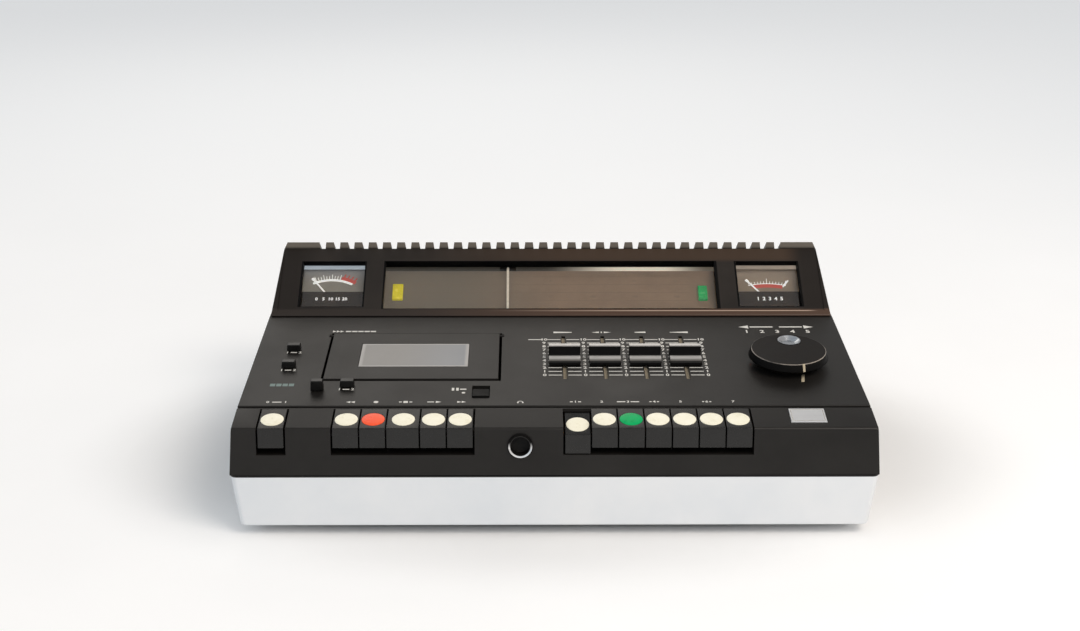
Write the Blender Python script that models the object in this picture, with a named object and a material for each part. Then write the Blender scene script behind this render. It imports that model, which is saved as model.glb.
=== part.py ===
"""Table-top radio cassette deck: a black moulded shell with keys, sliders, a cassette lid and a
tilted dial housing, on a pale tapered base tray.

Frame: metres, +Z up, X across the deck, the keys at the -Y side. The origin is under the middle of
the deck, on the surface that it stands on. Depths are first written from the front face, and then
moved back by half the depth.
"""

import math

import bmesh
import bpy
from mathutils import Matrix, Vector

MM = 0.001

# Overall sizes of the case
CASE_WIDTH = 480 * MM
FOOT_HEIGHT = 4 * MM
COVER_HEIGHT = 4 * MM
TRAY_HEIGHT = 42 * MM
FRONT_HEIGHT = 36 * MM
FRONT_LEAN = 4.7 * MM
SHELF_DEPTH = 31.8 * MM
SHELF_RISE = 4.7 * MM
PANEL_DEPTH = 168 * MM
PANEL_RISE = 9.6 * MM
FACE_DEPTH = 65.4 * MM
FACE_RISE = 38.2 * MM
REAR_DEPTH = 40.1 * MM
SIDE_DRAFT_SHARE = 0.063
TRAY_SIDE_DRAFT = 4.9 * MM
TRAY_FRONT_DRAFT = 1.6 * MM

# Units for places and widths, so that they follow the size of the surface that they lie on
ACROSS = CASE_WIDTH / 480
UP_FRONT = FRONT_HEIGHT / 36
ALONG_SHELF = SHELF_DEPTH / 31.8
ALONG_PANEL = PANEL_DEPTH / 168
ALONG_FACE = FACE_DEPTH / 65.4

# Fits and shared overruns
GAP = 0.3 * MM
KEY_GAP = 0.9 * MM
LID_GAP = 2 * MM
OVERRUN = 2 * MM
WALL = 2.6 * MM
EDGE_RADIUS = 0.9 * MM
SMALL_EDGE = 0.4 * MM
SEAM_WIDTH = 2.6 * MM
SEAM_DEPTH = 1.6 * MM

# Places that follow from those sizes
TRAY_Z = FOOT_HEIGHT + COVER_HEIGHT
SPLIT_Z = TRAY_Z + TRAY_HEIGHT
SHELL_Z = SPLIT_Z + GAP
FRONT_TOP = (FRONT_LEAN, SPLIT_Z + FRONT_HEIGHT)
SHELF_END = (FRONT_TOP[0] + SHELF_DEPTH, FRONT_TOP[1] + SHELF_RISE)
PANEL_END = (SHELF_END[0] + PANEL_DEPTH, SHELF_END[1] + PANEL_RISE)
FACE_END = (PANEL_END[0] + FACE_DEPTH, PANEL_END[1] + FACE_RISE)
CASE_DEPTH = FACE_END[0] + REAR_DEPTH
FRONT_Y = -CASE_DEPTH / 2

# Base tray and bottom cover
TRAY_CORNER = 5 * MM
TRAY_FLOOR = 2.6 * MM
TRAY_BOTTOM_ROUND = 2.5 * MM
BOSS_RADIUS = 4.5 * MM
BOSS_SCREW_RADIUS = 1.5 * MM
BOSS_INSET = 26 * MM
COVER_INSET = 12 * MM
COVER_VENT_COUNT = 9
COVER_VENT_WIDTH = 4 * MM
COVER_VENT_LENGTH = 60 * MM
COVER_VENT_PITCH = 12 * MM
FOOT_RADIUS = 9 * MM
FOOT_INSET = 38 * MM
FOOT_TAPER = 1.2 * MM

# Rear recesses in the tray: one for the round sockets, one for the mains lead
DIN_RADIUS = 8 * MM
DIN_DEPTH = 3 * MM
DIN_PITCH = 26 * ACROSS
DIN_COUNT = 5
DIN_FIRST_X = 40 * ACROSS
RECESS_DEPTH = 9 * MM
RECESS_HEIGHT = 24 * MM
RECESS_MARGIN = 4 * MM
INLET_WIDTH = 24 * MM
INLET_HEIGHT = 16 * MM
INLET_X = -190 * ACROSS
SOCKET_RISE_SHARE = 0.524
SOCKET_Z = TRAY_Z + TRAY_HEIGHT * SOCKET_RISE_SHARE

# Keys
KEY_PITCH = 19.8 * ACROSS
WIDE_KEY_WIDTH = 24.7 * ACROSS
KEY_PROUD = 0.5 * MM
KEY_REAR_S = 27.2 * ALONG_SHELF
KEY_BOTTOM_RISE = 21.4 * UP_FRONT
KEY_BOTTOM_Z = SPLIT_Z + KEY_BOTTOM_RISE
SLOT_BOTTOM_RISE = 16 * UP_FRONT
SLOT_BOTTOM_Z = SPLIT_Z + SLOT_BOTTOM_RISE
KEY_WALL = 2.4 * MM
KEY_ARM_WIDTH = 8 * MM
KEY_ARM_THICK = 3 * MM
KEY_PIVOT_BACK = 28 * MM
KEY_PIVOT_BELOW = 10.7 * MM
KEY_PIVOT_Y = SHELF_END[0] + KEY_PIVOT_BACK
KEY_PIVOT_Z = SHELF_END[1] - KEY_PIVOT_BELOW
KEY_TRAVEL_DEG = 4.8
KEY_ROD_RADIUS = 2 * MM
KEY_HOOK_RADIUS = 4.4 * MM
KEY_DISC_SHARE = 0.4343
KEY_DISC_RADIUS = KEY_PITCH * KEY_DISC_SHARE
KEY_DISC_DEPTH = 0.6 * MM
KEY_DISC_S = 12.3 * ALONG_SHELF
DISC_RIM = 0.25 * MM
POWER_KEY_X = -208.8 * ACROSS
DECK_KEYS_LEFT = -164 * ACROSS
BAND_KEYS_LEFT = 6.8 * ACROSS
DECK_KEY_COUNT = 5
BAND_KEY_COUNT = 7
WIDE_KEY_INDEX = 2
LUG_THICK = 3 * MM
LUG_DEPTH = 10 * MM
LUG_BELOW = 5 * MM
LUG_CLEAR = 4 * MM

# Headphone socket and blank plate
PHONE_X = -25.7 * ACROSS
PHONE_RISE = 23 * UP_FRONT
PHONE_Z = SPLIT_Z + PHONE_RISE
PHONE_RING_RADIUS = 8.9 * MM
PHONE_RING_PROUD = 1.2 * MM
PHONE_BORE_RADIUS = 7.2 * MM
PHONE_BODY_RADIUS = 8.2 * MM
PHONE_DEPTH = 14 * MM
PHONE_RECESS = 8 * MM
PLATE_X = 187.8 * ACROSS
PLATE_S = 17.5 * ALONG_SHELF
PLATE_WIDTH = 27 * ACROSS
PLATE_LENGTH = 18.5 * ALONG_SHELF
PLATE_THICK = 1 * MM
PLATE_BED = 0.6 * MM

# Cassette lid, window and well, in the plane of the panel: S runs up the slope from its front edge
LID_LEFT = -178.4 * ACROSS
LID_RIGHT = -42.8 * ACROSS
LID_FRONT_S = 45.6 * ALONG_PANEL
LID_REAR_S = 132.3 * ALONG_PANEL
LID_THICK = 2.6 * MM
LID_PROUD = 0.9 * MM
LID_HINGE_IN = 3 * MM
LID_PIN_RADIUS = 0.9 * MM
LID_PIN_LENGTH = 3.4 * MM
LID_NOTCH_LENGTH = 5 * MM
LID_RIB_HEIGHT = 2.4 * MM
LID_RIB_THICK = 1.6 * MM
LID_RIB_IN = 5 * MM
WINDOW_LEFT = -153.5 * ACROSS
WINDOW_RIGHT = -66.8 * ACROSS
WINDOW_FRONT_S = 67.9 * ALONG_PANEL
WINDOW_REAR_S = 111.6 * ALONG_PANEL
WINDOW_LEDGE = 2 * MM
WINDOW_THICK = 1.6 * MM
WELL_WALL = 2 * MM
WELL_MARGIN = 2 * MM
WELL_DEPTH = 24 * MM
WELL_FLOOR = 2 * MM
CASSETTE_MID_X = (LID_LEFT + LID_RIGHT) / 2
HUB_SPACING = 42.5 * MM
HUB_S = 89.5 * ALONG_PANEL
SPINDLE_RADIUS = 3 * MM
SPINDLE_BASE_RADIUS = 9 * MM
SPINDLE_BASE_THICK = 2 * MM
SPINDLE_HEIGHT = 10 * MM
SPINDLE_FIN = 1.1 * MM
SPINDLE_FIN_OUT = 1.3 * MM
SPINDLE_AXLE_RADIUS = 1.2 * MM
AXLE_CLEARANCE = 0.4 * MM
BRIDGE_WIDTH = 84 * MM
BRIDGE_LENGTH = 8 * MM
BRIDGE_THICK = 1.6 * MM
BRIDGE_TRAVEL = 4 * MM
HEAD_WIDTH = 12 * MM
HEAD_LENGTH = 6 * MM
HEAD_HEIGHT = 11 * MM
ERASE_WIDTH = 7 * MM
ERASE_OFFSET = 20 * MM
ROLLER_OFFSET = 33 * MM
ROLLER_RADIUS = 4.2 * MM
ROLLER_HEIGHT = 8 * MM
ROLLER_PIN_RADIUS = 1.2 * MM
CAPSTAN_RADIUS = 1 * MM
CAPSTAN_HEIGHT = 12 * MM
FLYWHEEL_RADIUS = 24 * MM
FLYWHEEL_THICK = 6 * MM
FLYWHEEL_BELOW = 2 * MM
FLYWHEEL_RIM = 5 * MM
FLYWHEEL_DISH = 2 * MM
MOTOR_X = -160 * ACROSS
MOTOR_S = 108 * ALONG_PANEL
MOTOR_RADIUS = 14 * MM
MOTOR_HEIGHT = 26 * MM
MOTOR_BELOW = 10 * MM
MOTOR_FLANGE = 4 * MM
MOTOR_FLANGE_THICK = 1.6 * MM
MOTOR_POST_RADIUS = 2 * MM
MOTOR_POST_COUNT = 3
MOTOR_POST_FIRST_DEG = 50
MOTOR_POST_STEP_DEG = 100
PULLEY_RADIUS = 5 * MM
PULLEY_BORE = 1.3 * MM
MOTOR_SHAFT_RADIUS = 1 * MM
BELT_THICK = 1.2 * MM
BELT_WIDTH = 3 * MM

# Main board and transformer inside the tray
BOARD_WIDTH = 200 * ACROSS
BOARD_LENGTH = 130 * MM
BOARD_THICK = 1.6 * MM
BOARD_X = 90 * ACROSS
BOARD_Y = 30 * MM
BOARD_RAISE = 6 * MM
STANDOFF_RADIUS = 3 * MM
STANDOFF_INSET = 8 * MM
CORE_WIDTH = 60 * MM
CORE_LENGTH = 50 * MM
CORE_HEIGHT = 34 * MM
CORE_SIDE_IN = 60 * MM
CORE_REAR_IN = 60 * MM
CORE_X = CORE_SIDE_IN - CASE_WIDTH / 2
CORE_Y = CASE_DEPTH / 2 - CORE_REAR_IN
COIL_WIDTH = 34 * MM
COIL_OUT = 8 * MM
FLANGE_WIDTH = 80 * MM
FLANGE_THICK = 2 * MM

# Four sliders
SLIDER_COUNT = 4
SLIDER_FIRST_X = 9.2 * ACROSS
SLIDER_PITCH = 31.9 * ACROSS
SLOT_FRONT_S = 47 * ALONG_PANEL
SLOT_REAR_S = 128 * ALONG_PANEL
SLOT_WIDTH = 3 * MM
SLIDER_WIDTH = 25 * MM
SLIDER_LENGTH = 20 * MM
SLIDER_BACK = 10.5 * MM
SLIDER_FRONT = 3.2 * MM
SLIDER_BACK_THICK = 7 * MM
SLIDER_RIDGE = 1.8 * MM
SLIDER_DIP = 0.9 * MM
SLIDER_CLEAR = 0.8 * MM
SLIDER_STEM_WIDTH = 2 * MM
SLIDER_STEM_LENGTH = 5 * MM
SLIDER_STEM_DEPTH = 10 * MM
SLIDER_MID_S = 79.5 * ALONG_PANEL
POT_WIDTH = 9 * MM
POT_HEIGHT = 8 * MM
POT_MARGIN = 6 * MM
POT_BOARD_THICK = 1.6 * MM
POT_BOARD_MARGIN = 8 * MM
POT_CAVITY_WIDTH = 5 * MM

# Tuning knob
KNOB_X = 185.6 * ACROSS
KNOB_S = 74.5 * ALONG_PANEL
KNOB_RADIUS = 31.2 * MM
KNOB_TOP_RADIUS = 28.9 * MM
KNOB_BASE_RADIUS = 22 * MM
KNOB_RIM_LOW = 5.8 * MM
KNOB_CHAMFER = 1 * MM
KNOB_HEIGHT = 11.5 * MM
KNOB_CLEAR = 1 * MM
KNOB_WALL = 2.4 * MM
KNOB_HUB_RADIUS = 7 * MM
DIMPLE_RADIUS = 9.7 * MM
DIMPLE_OFFSET = 17.5 * MM
DIMPLE_TURN_DEG = 9
DIMPLE_DEPTH = 3.2 * MM
DIMPLE_SHEET = 0.6 * MM
DIMPLE_LIP = 1 * MM
SHAFT_RADIUS = 3 * MM
SHAFT_BELOW = 30 * MM
DRUM_RADIUS = 20 * MM
DRUM_THICK = 5 * MM
DRUM_GROOVE = 1.2 * MM
DRUM_BELOW = 14 * MM
BUSH_RADIUS = 6 * MM
BUSH_HEIGHT = 8 * MM

# Small slide switches: the middle of each
SWITCH_PLACES = {
    "mode_switch": (-207.4 * ACROSS, 100.9 * ALONG_PANEL),
    "filter_switch": (-207.6 * ACROSS, 69 * ALONG_PANEL),
    "eject_slide": (-180.8 * ACROSS, 27.7 * ALONG_PANEL),
    "counter_switch": (-158.5 * ACROSS, 34 * ALONG_PANEL),
}
SWITCH_WIDTH = 11.2 * MM
EJECT_WIDTH = 9.9 * MM
SWITCH_LENGTH = 6.4 * MM
SWITCH_HEIGHT = 5.2 * MM
EJECT_HEIGHT = 8 * MM
SWITCH_TRAVEL = 5 * MM
SWITCH_SLOT_WIDTH = 4 * MM
SWITCH_STEM_WIDTH = 2.6 * MM
SWITCH_STEM_LENGTH = 3 * MM
SWITCH_STEM_DEPTH = 6 * MM
SWITCH_CLEAR = 0.5 * MM
SWITCH_RIDGE = 0.5 * MM
PAUSE_X = -55.8 * ACROSS
PAUSE_FRONT_S = 14 * ALONG_PANEL
PAUSE_OPENING_LENGTH = 20.8 * ALONG_PANEL
PAUSE_OPENING_WIDTH = 13.6 * MM
PAUSE_LENGTH = 12.5 * ALONG_PANEL
PAUSE_PROUD = 1.2 * MM
PAUSE_DEPTH = 6 * MM
POCKET_WALL = 1.6 * MM

# Dial housing: S runs up the tilted face from its front edge
HOUSING_INSET = 1.2 * MM
HOUSING_DRAFT_SHARE = 0.12
HOUSING_WALL = 3 * MM
HOUSING_LIP = 1.2 * MM
RIM_WIDTH = 5 * MM
RIM_STEP = 0.9 * MM
DIAL_HALF_WIDTH = 143.4 * ACROSS
DIAL_FRONT_S = 8.6 * ALONG_FACE
DIAL_REAR_S = 62.6 * ALONG_FACE
METER_POST_WIDTH = 15 * ACROSS
METER_INNER_X = DIAL_HALF_WIDTH + METER_POST_WIDTH
METER_OUTER_X = 214.2 * ACROSS
METER_FRONT_S = 10.8 * ALONG_FACE
METER_REAR_S = 62.3 * ALONG_FACE
GLASS_DEPTH = 5 * MM
GLASS_THICK = 1.6 * MM
GLASS_MARGIN = 1.6 * MM
POINTER_GAP = 2.2 * MM
POINTER_WIDTH = 1.4 * MM
POINTER_THICK = 0.8 * MM
POINTER_X = -36.8 * ACROSS
CARRIAGE_WIDTH = 14 * MM
CARRIAGE_LENGTH = 4 * MM
SCALE_GAP = 3 * MM
SCALE_THICK = 1.5 * MM
METER_DEPTH = 16 * MM
METER_GAP = 0.8 * MM
METER_WALL = 1.4 * MM
METER_FACE_DROP = 4 * MM
NEEDLE_PIVOT_S = 25.2 * ALONG_FACE
NEEDLE_SHARE = 0.52
NEEDLE_LENGTH = (METER_OUTER_X - METER_INNER_X) * NEEDLE_SHARE
NEEDLE_WIDTH = 0.9 * MM
NEEDLE_THICK = 0.5 * MM
NEEDLE_REST_DEG = 36.9
NEEDLE_HUB_RADIUS = 2.2 * MM
NEEDLE_HUB_HEIGHT = 1.4 * MM
NEEDLE_ABOVE = 1.0 * MM

# Ribbed rear cover
RIB_COUNT = 34
RIB_PITCH = 12.34 * ACROSS
RIB_BASE_WIDTH = 8.2 * ACROSS
RIB_TOP_WIDTH = 6.6 * ACROSS
RIB_HEIGHT = 5.9 * MM
GRILLE_WALL = 2.4 * MM
GRILLE_SLOPE_DEG = 37
GRILLE_BEND_RADIUS = 11 * MM
GRILLE_GAP = 0.4 * MM
END_BLOCK_WIDTH = 18 * ACROSS

ROUND_STEPS = 24
SMALL_ROUND_STEPS = 16
TINY_ROUND_STEPS = 12
BIG_ROUND_STEPS = 40

# The place along X of each key's middle, from the left
DECK_KEY_WIDTHS = [WIDE_KEY_WIDTH if i == WIDE_KEY_INDEX else KEY_PITCH for i in range(DECK_KEY_COUNT)]
DECK_KEYS_RIGHT = DECK_KEYS_LEFT + sum(DECK_KEY_WIDTHS)
BAND_KEYS_RIGHT = BAND_KEYS_LEFT + BAND_KEY_COUNT * KEY_PITCH

BLACK_PLASTIC = "black_plastic"
COLOURS = {
    BLACK_PLASTIC: ((0.035, 0.034, 0.033, 1), 0.5, 0.0),
    "key_plastic": ((0.03, 0.03, 0.03, 1), 0.42, 0.0),
    "pale_paint": ((0.72, 0.74, 0.76, 1), 0.45, 0.0),
    "grey_cover": ((0.25, 0.25, 0.26, 1), 0.6, 0.0),
    "rubber": ((0.04, 0.04, 0.04, 1), 0.9, 0.0),
    "clear_pane": ((0.6, 0.58, 0.55, 0.35), 0.08, 0.0),
    "window_pane": ((0.55, 0.54, 0.53, 1), 0.2, 0.0),
    "scale_plate": ((0.2, 0.17, 0.14, 1), 0.4, 0.0),
    "meter_face": ((0.3, 0.28, 0.26, 1), 0.5, 0.0),
    "needle": ((0.85, 0.83, 0.78, 1), 0.4, 0.0),
    "bright_metal": ((0.8, 0.8, 0.8, 1), 0.2, 1.0),
    "steel": ((0.55, 0.55, 0.55, 1), 0.35, 1.0),
    "circuit_board": ((0.35, 0.2, 0.08, 1), 0.6, 0.0),
    "belt_rubber": ((0.02, 0.02, 0.02, 1), 0.8, 0.0),
    "well_plastic": ((0.05, 0.05, 0.05, 1), 0.6, 0.0),
}


def clear_scene():
    for old in list(bpy.data.objects):
        bpy.data.objects.remove(old)


def material(name):
    made = bpy.data.materials.get(name)
    if made is None:
        colour, roughness, metallic = COLOURS[name]
        made = bpy.data.materials.new(name)
        made.use_nodes = True
        shader = made.node_tree.nodes["Principled BSDF"]
        shader.inputs["Base Color"].default_value = colour
        shader.inputs["Roughness"].default_value = roughness
        shader.inputs["Metallic"].default_value = metallic
    return made


class Plane:
    """A sloping surface of the case: x across, s up the slope from its front edge, n out of it."""

    def __init__(self, start, end):
        self.start = start
        self.angle = math.atan2(end[1] - start[1], end[0] - start[0])
        self.length = math.hypot(end[1] - start[1], end[0] - start[0])

    def point(self, x, s, n=0.0):
        y = self.start[0] + s * math.cos(self.angle) - n * math.sin(self.angle)
        z = self.start[1] + s * math.sin(self.angle) + n * math.cos(self.angle)
        return Vector((x, FRONT_Y + y, z))

    def profile(self, s, n=0.0):
        """The same place as (depth from the front, height), for an outline."""
        place = self.point(0.0, s, n)
        return (place.y - FRONT_Y, place.z)

    def put(self, obj, x=0.0, s=0.0, n=0.0):
        obj.location = self.point(x, s, n)
        obj.rotation_euler = (self.angle, 0.0, 0.0)
        return obj


FRONT = Plane((0.0, SPLIT_Z), FRONT_TOP)
SHELF = Plane(FRONT_TOP, SHELF_END)
PANEL = Plane(SHELF_END, PANEL_END)
FACE = Plane(PANEL_END, FACE_END)


def new_object(name, mesh, material_name=None):
    obj = bpy.data.objects.new(name, mesh)
    bpy.context.scene.collection.objects.link(obj)
    if material_name:
        mesh.materials.clear()
        mesh.materials.append(material(material_name))
    return obj


def mesh_from(name, points, faces):
    mesh = bpy.data.meshes.new(name)
    mesh.from_pydata([tuple(p) for p in points], [], faces)
    work = bmesh.new()
    work.from_mesh(mesh)
    bmesh.ops.recalc_face_normals(work, faces=work.faces)
    work.to_mesh(mesh)
    work.free()
    return mesh


def loft(name, rings, material_name=None):
    """A closed skin through rings of equally many points, capped at both ends."""
    count = len(rings[0])
    points = [point for ring in rings for point in ring]
    faces = []
    for level in range(len(rings) - 1):
        low, high = level * count, (level + 1) * count
        for i in range(count):
            j = (i + 1) % count
            faces.append((low + i, low + j, high + j, high + i))
    faces.append(tuple(reversed(range(count))))
    faces.append(tuple((len(rings) - 1) * count + i for i in range(count)))
    return new_object(name, mesh_from(name, points, faces), material_name)


def extrusion(name, outline, left, right, material_name=None, draft=None):
    """An outline of (depth, height) pairs drawn out along X. draft(height) narrows each end."""
    rings = []
    for x in (left, right):
        inward = 1 if x < 0 else -1
        ring = [(x + inward * (draft(z) if draft else 0.0), y, z) for y, z in outline]
        rings.append(ring)
    return loft(name, rings, material_name)


def block(name, width, length, height, material_name=None, taper=0.0):
    """A box centred on X and Y, standing on Z = 0, narrower by taper on each side at its top."""
    half_x, half_y = width / 2, length / 2
    ring = ((-1, -1), (1, -1), (1, 1), (-1, 1))
    low = [(i * half_x, j * half_y, 0.0) for i, j in ring]
    high = [(i * (half_x - taper), j * (half_y - taper), height) for i, j in ring]
    return loft(name, [low, high], material_name)


def turned(name, profile, steps, material_name=None):
    """A solid of revolution about Z. The profile runs from the axis round and back to the axis."""
    points, faces, rings = [], [], []
    for radius, height in profile:
        if radius == 0:
            rings.append([len(points)] * steps)
            points.append((0.0, 0.0, height))
            continue
        rings.append(list(range(len(points), len(points) + steps)))
        for i in range(steps):
            turn = 2 * math.pi * i / steps
            points.append((radius * math.cos(turn), radius * math.sin(turn), height))
    for low, high in zip(rings, rings[1:]):
        for i in range(steps):
            j = (i + 1) % steps
            face = list(dict.fromkeys((low[i], low[j], high[j], high[i])))
            if len(face) > 2:
                faces.append(tuple(face))
    return new_object(name, mesh_from(name, points, faces), material_name)


def ring_solid(name, outer, inner, low, high, steps, material_name=None):
    """A plain tube about Z."""
    points, faces = [], []
    for radius, height in ((outer, low), (outer, high), (inner, high), (inner, low)):
        for i in range(steps):
            turn = 2 * math.pi * i / steps
            points.append((radius * math.cos(turn), radius * math.sin(turn), height))
    for k in range(4):
        for i in range(steps):
            j = (i + 1) % steps
            a, b = k * steps, (k + 1) % 4 * steps
            faces.append((a + i, a + j, b + j, b + i))
    return new_object(name, mesh_from(name, points, faces), material_name)


def cylinder(name, radius, low, high, steps, material_name=None):
    return turned(name, [(0, low), (radius, low), (radius, high), (0, high)], steps, material_name)


def helper(obj):
    obj.hide_render = True
    obj.display_type = "WIRE"
    return obj


def cut(target, *cutters):
    for cutter in cutters:
        helper(cutter)
        modifier = target.modifiers.new("cut " + cutter.name, "BOOLEAN")
        modifier.operation = "DIFFERENCE"
        modifier.solver = "EXACT"
        modifier.object = cutter
    return target


def join(target, *others):
    for other in others:
        helper(other)
        modifier = target.modifiers.new("join " + other.name, "BOOLEAN")
        modifier.operation = "UNION"
        modifier.solver = "EXACT"
        modifier.object = other
    return target


def soften(obj, width, segments=2, angle_deg=35):
    modifier = obj.modifiers.new("edges", "BEVEL")
    modifier.width = width
    modifier.segments = segments
    modifier.limit_method = "ANGLE"
    modifier.angle_limit = math.radians(angle_deg)
    return obj


def finished_mesh(obj):
    """The mesh of a piece with its modifiers applied. The piece and its cutters are removed."""
    bpy.context.view_layer.update()
    graph = bpy.context.evaluated_depsgraph_get()
    mesh = bpy.data.meshes.new_from_object(obj.evaluated_get(graph))
    helpers = [m.object for m in obj.modifiers if m.type == "BOOLEAN"]
    for old in [obj] + helpers:
        bpy.data.objects.remove(old)
    return mesh


def smooth(obj, angle_deg=35):
    obj.data.shade_smooth()
    obj.data.set_sharp_from_angle(angle=math.radians(angle_deg))
    return obj


def rounded_ring(half_x, front, rear, corner, z, steps=4):
    """A rectangle with round corners in plan, as points in order."""
    points = []
    for sign_x, y_mid, start_deg in (
        (1, front + corner, 270),
        (1, rear - corner, 0),
        (-1, rear - corner, 90),
        (-1, front + corner, 180),
    ):
        for i in range(steps + 1):
            turn = math.radians(start_deg + 90 * i / steps)
            x = sign_x * (half_x - corner) + corner * math.cos(turn)
            points.append((x, FRONT_Y + y_mid + corner * math.sin(turn), z))
    return points


def side_draft(z):
    """How far the side of the black shell leans in at height z."""
    return SIDE_DRAFT_SHARE * (z - SPLIT_Z)


def make_base_tray():
    """A tapered tub with screw bosses, and sockets in its rear wall."""
    half = CASE_WIDTH / 2
    low_half = half - TRAY_SIDE_DRAFT
    low_rear = CASE_DEPTH - TRAY_SIDE_DRAFT
    turn_in = TRAY_BOTTOM_ROUND
    rings = [
        rounded_ring(
            low_half - turn_in, TRAY_FRONT_DRAFT + turn_in, low_rear - turn_in, TRAY_CORNER, TRAY_Z
        ),
        rounded_ring(
            low_half - turn_in / 4,
            TRAY_FRONT_DRAFT + turn_in / 4,
            low_rear - turn_in / 4,
            TRAY_CORNER,
            TRAY_Z + turn_in / 3,
        ),
        rounded_ring(low_half, TRAY_FRONT_DRAFT, low_rear, TRAY_CORNER, TRAY_Z + turn_in),
        rounded_ring(half, 0.0, CASE_DEPTH, TRAY_CORNER, SPLIT_Z),
        rounded_ring(half - WALL, WALL, CASE_DEPTH - WALL, TRAY_CORNER, SPLIT_Z),
        rounded_ring(
            low_half - WALL,
            TRAY_FRONT_DRAFT + WALL,
            low_rear - WALL,
            TRAY_CORNER,
            TRAY_Z + TRAY_FLOOR,
        ),
    ]
    tray = loft("base_tray", rings, "pale_paint")
    for i, (x, y) in enumerate(corner_places(BOSS_INSET)):
        boss = cylinder(
            f"boss_{i}", BOSS_RADIUS, TRAY_Z + TRAY_FLOOR / 2, SPLIT_Z - GAP, TINY_ROUND_STEPS
        )
        boss.location = (x, y, 0)
        join(tray, boss)
    for i, (x, y) in enumerate(corner_places(BOSS_INSET)):
        screw_hole = cylinder(
            f"screw_hole_{i}", BOSS_SCREW_RADIUS, TRAY_Z + TRAY_FLOOR * 2, SPLIT_Z + OVERRUN, 8
        )
        screw_hole.location = (x, y, 0)
        cut(tray, screw_hole)
    sockets_x = DIN_FIRST_X + DIN_PITCH * (DIN_COUNT - 1) / 2
    sockets_width = DIN_PITCH * (DIN_COUNT - 1) + (DIN_RADIUS + RECESS_MARGIN) * 2
    add_rear_recess(tray, "socket_recess", sockets_x, sockets_width, RECESS_HEIGHT, DIN_DEPTH)
    add_rear_recess(tray, "inlet_recess", INLET_X, INLET_WIDTH, INLET_HEIGHT, 0.0)
    floor_y = -FRONT_Y - TRAY_SIDE_DRAFT - RECESS_DEPTH
    for i in range(DIN_COUNT):
        hole = cylinder(f"din_hole_{i}", DIN_RADIUS, -DIN_DEPTH, OVERRUN, ROUND_STEPS)
        hole.location = (DIN_FIRST_X + i * DIN_PITCH, floor_y, SOCKET_Z)
        hole.rotation_euler = (-math.pi / 2, 0, 0)
        cut(tray, hole)
    return smooth(tray)


def add_rear_recess(tray, name, x, width, height, more_depth):
    """A pocket in the tray's rear wall, with its own walls behind it."""
    rear_y = -FRONT_Y - TRAY_SIDE_DRAFT
    depth = RECESS_DEPTH + more_depth
    pocket = block(f"{name}_walls", width + WALL * 2, depth + WALL, height + WALL * 2)
    pocket.location = (x, rear_y - (depth + WALL) / 2, SOCKET_Z - height / 2 - WALL)
    join(tray, pocket)
    hollow = block(name, width, RECESS_DEPTH + TRAY_SIDE_DRAFT + OVERRUN, height)
    hollow.location = (
        x,
        rear_y - RECESS_DEPTH + (RECESS_DEPTH + TRAY_SIDE_DRAFT + OVERRUN) / 2,
        SOCKET_Z - height / 2,
    )
    cut(tray, hollow)


def corner_places(inset):
    x = CASE_WIDTH / 2 - inset
    y = CASE_DEPTH / 2 - inset
    return [(-x, -y), (x, -y), (-x, y), (x, y)]


def make_bottom_cover():
    half = CASE_WIDTH / 2 - TRAY_SIDE_DRAFT - COVER_INSET
    front = TRAY_FRONT_DRAFT + COVER_INSET
    rear = CASE_DEPTH - TRAY_SIDE_DRAFT - COVER_INSET
    rings = [
        rounded_ring(half - SMALL_EDGE, front + SMALL_EDGE, rear - SMALL_EDGE, TRAY_CORNER, FOOT_HEIGHT),
        rounded_ring(half, front, rear, TRAY_CORNER, FOOT_HEIGHT + SMALL_EDGE),
        rounded_ring(half, front, rear, TRAY_CORNER, TRAY_Z - GAP),
    ]
    cover = loft("bottom_cover", rings, "grey_cover")
    for i in range(COVER_VENT_COUNT):
        vent = block(
            f"cover_vent_{i}", COVER_VENT_WIDTH, COVER_VENT_LENGTH, COVER_HEIGHT + OVERRUN * 2
        )
        x = (i - (COVER_VENT_COUNT - 1) / 2) * COVER_VENT_PITCH
        vent.location = (x, 0, FOOT_HEIGHT - OVERRUN)
        cut(cover, vent)
    return cover


def make_feet():
    for i, (x, y) in enumerate(corner_places(FOOT_INSET)):
        name = ("front_left", "front_right", "rear_left", "rear_right")[i]
        profile = [
            (0, 0),
            (FOOT_RADIUS - FOOT_TAPER, 0),
            (FOOT_RADIUS, FOOT_HEIGHT - GAP),
            (0, FOOT_HEIGHT - GAP),
        ]
        foot = turned("foot_" + name, profile, ROUND_STEPS, "rubber")
        foot.location = (x, y, 0)
        smooth(foot)


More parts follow.
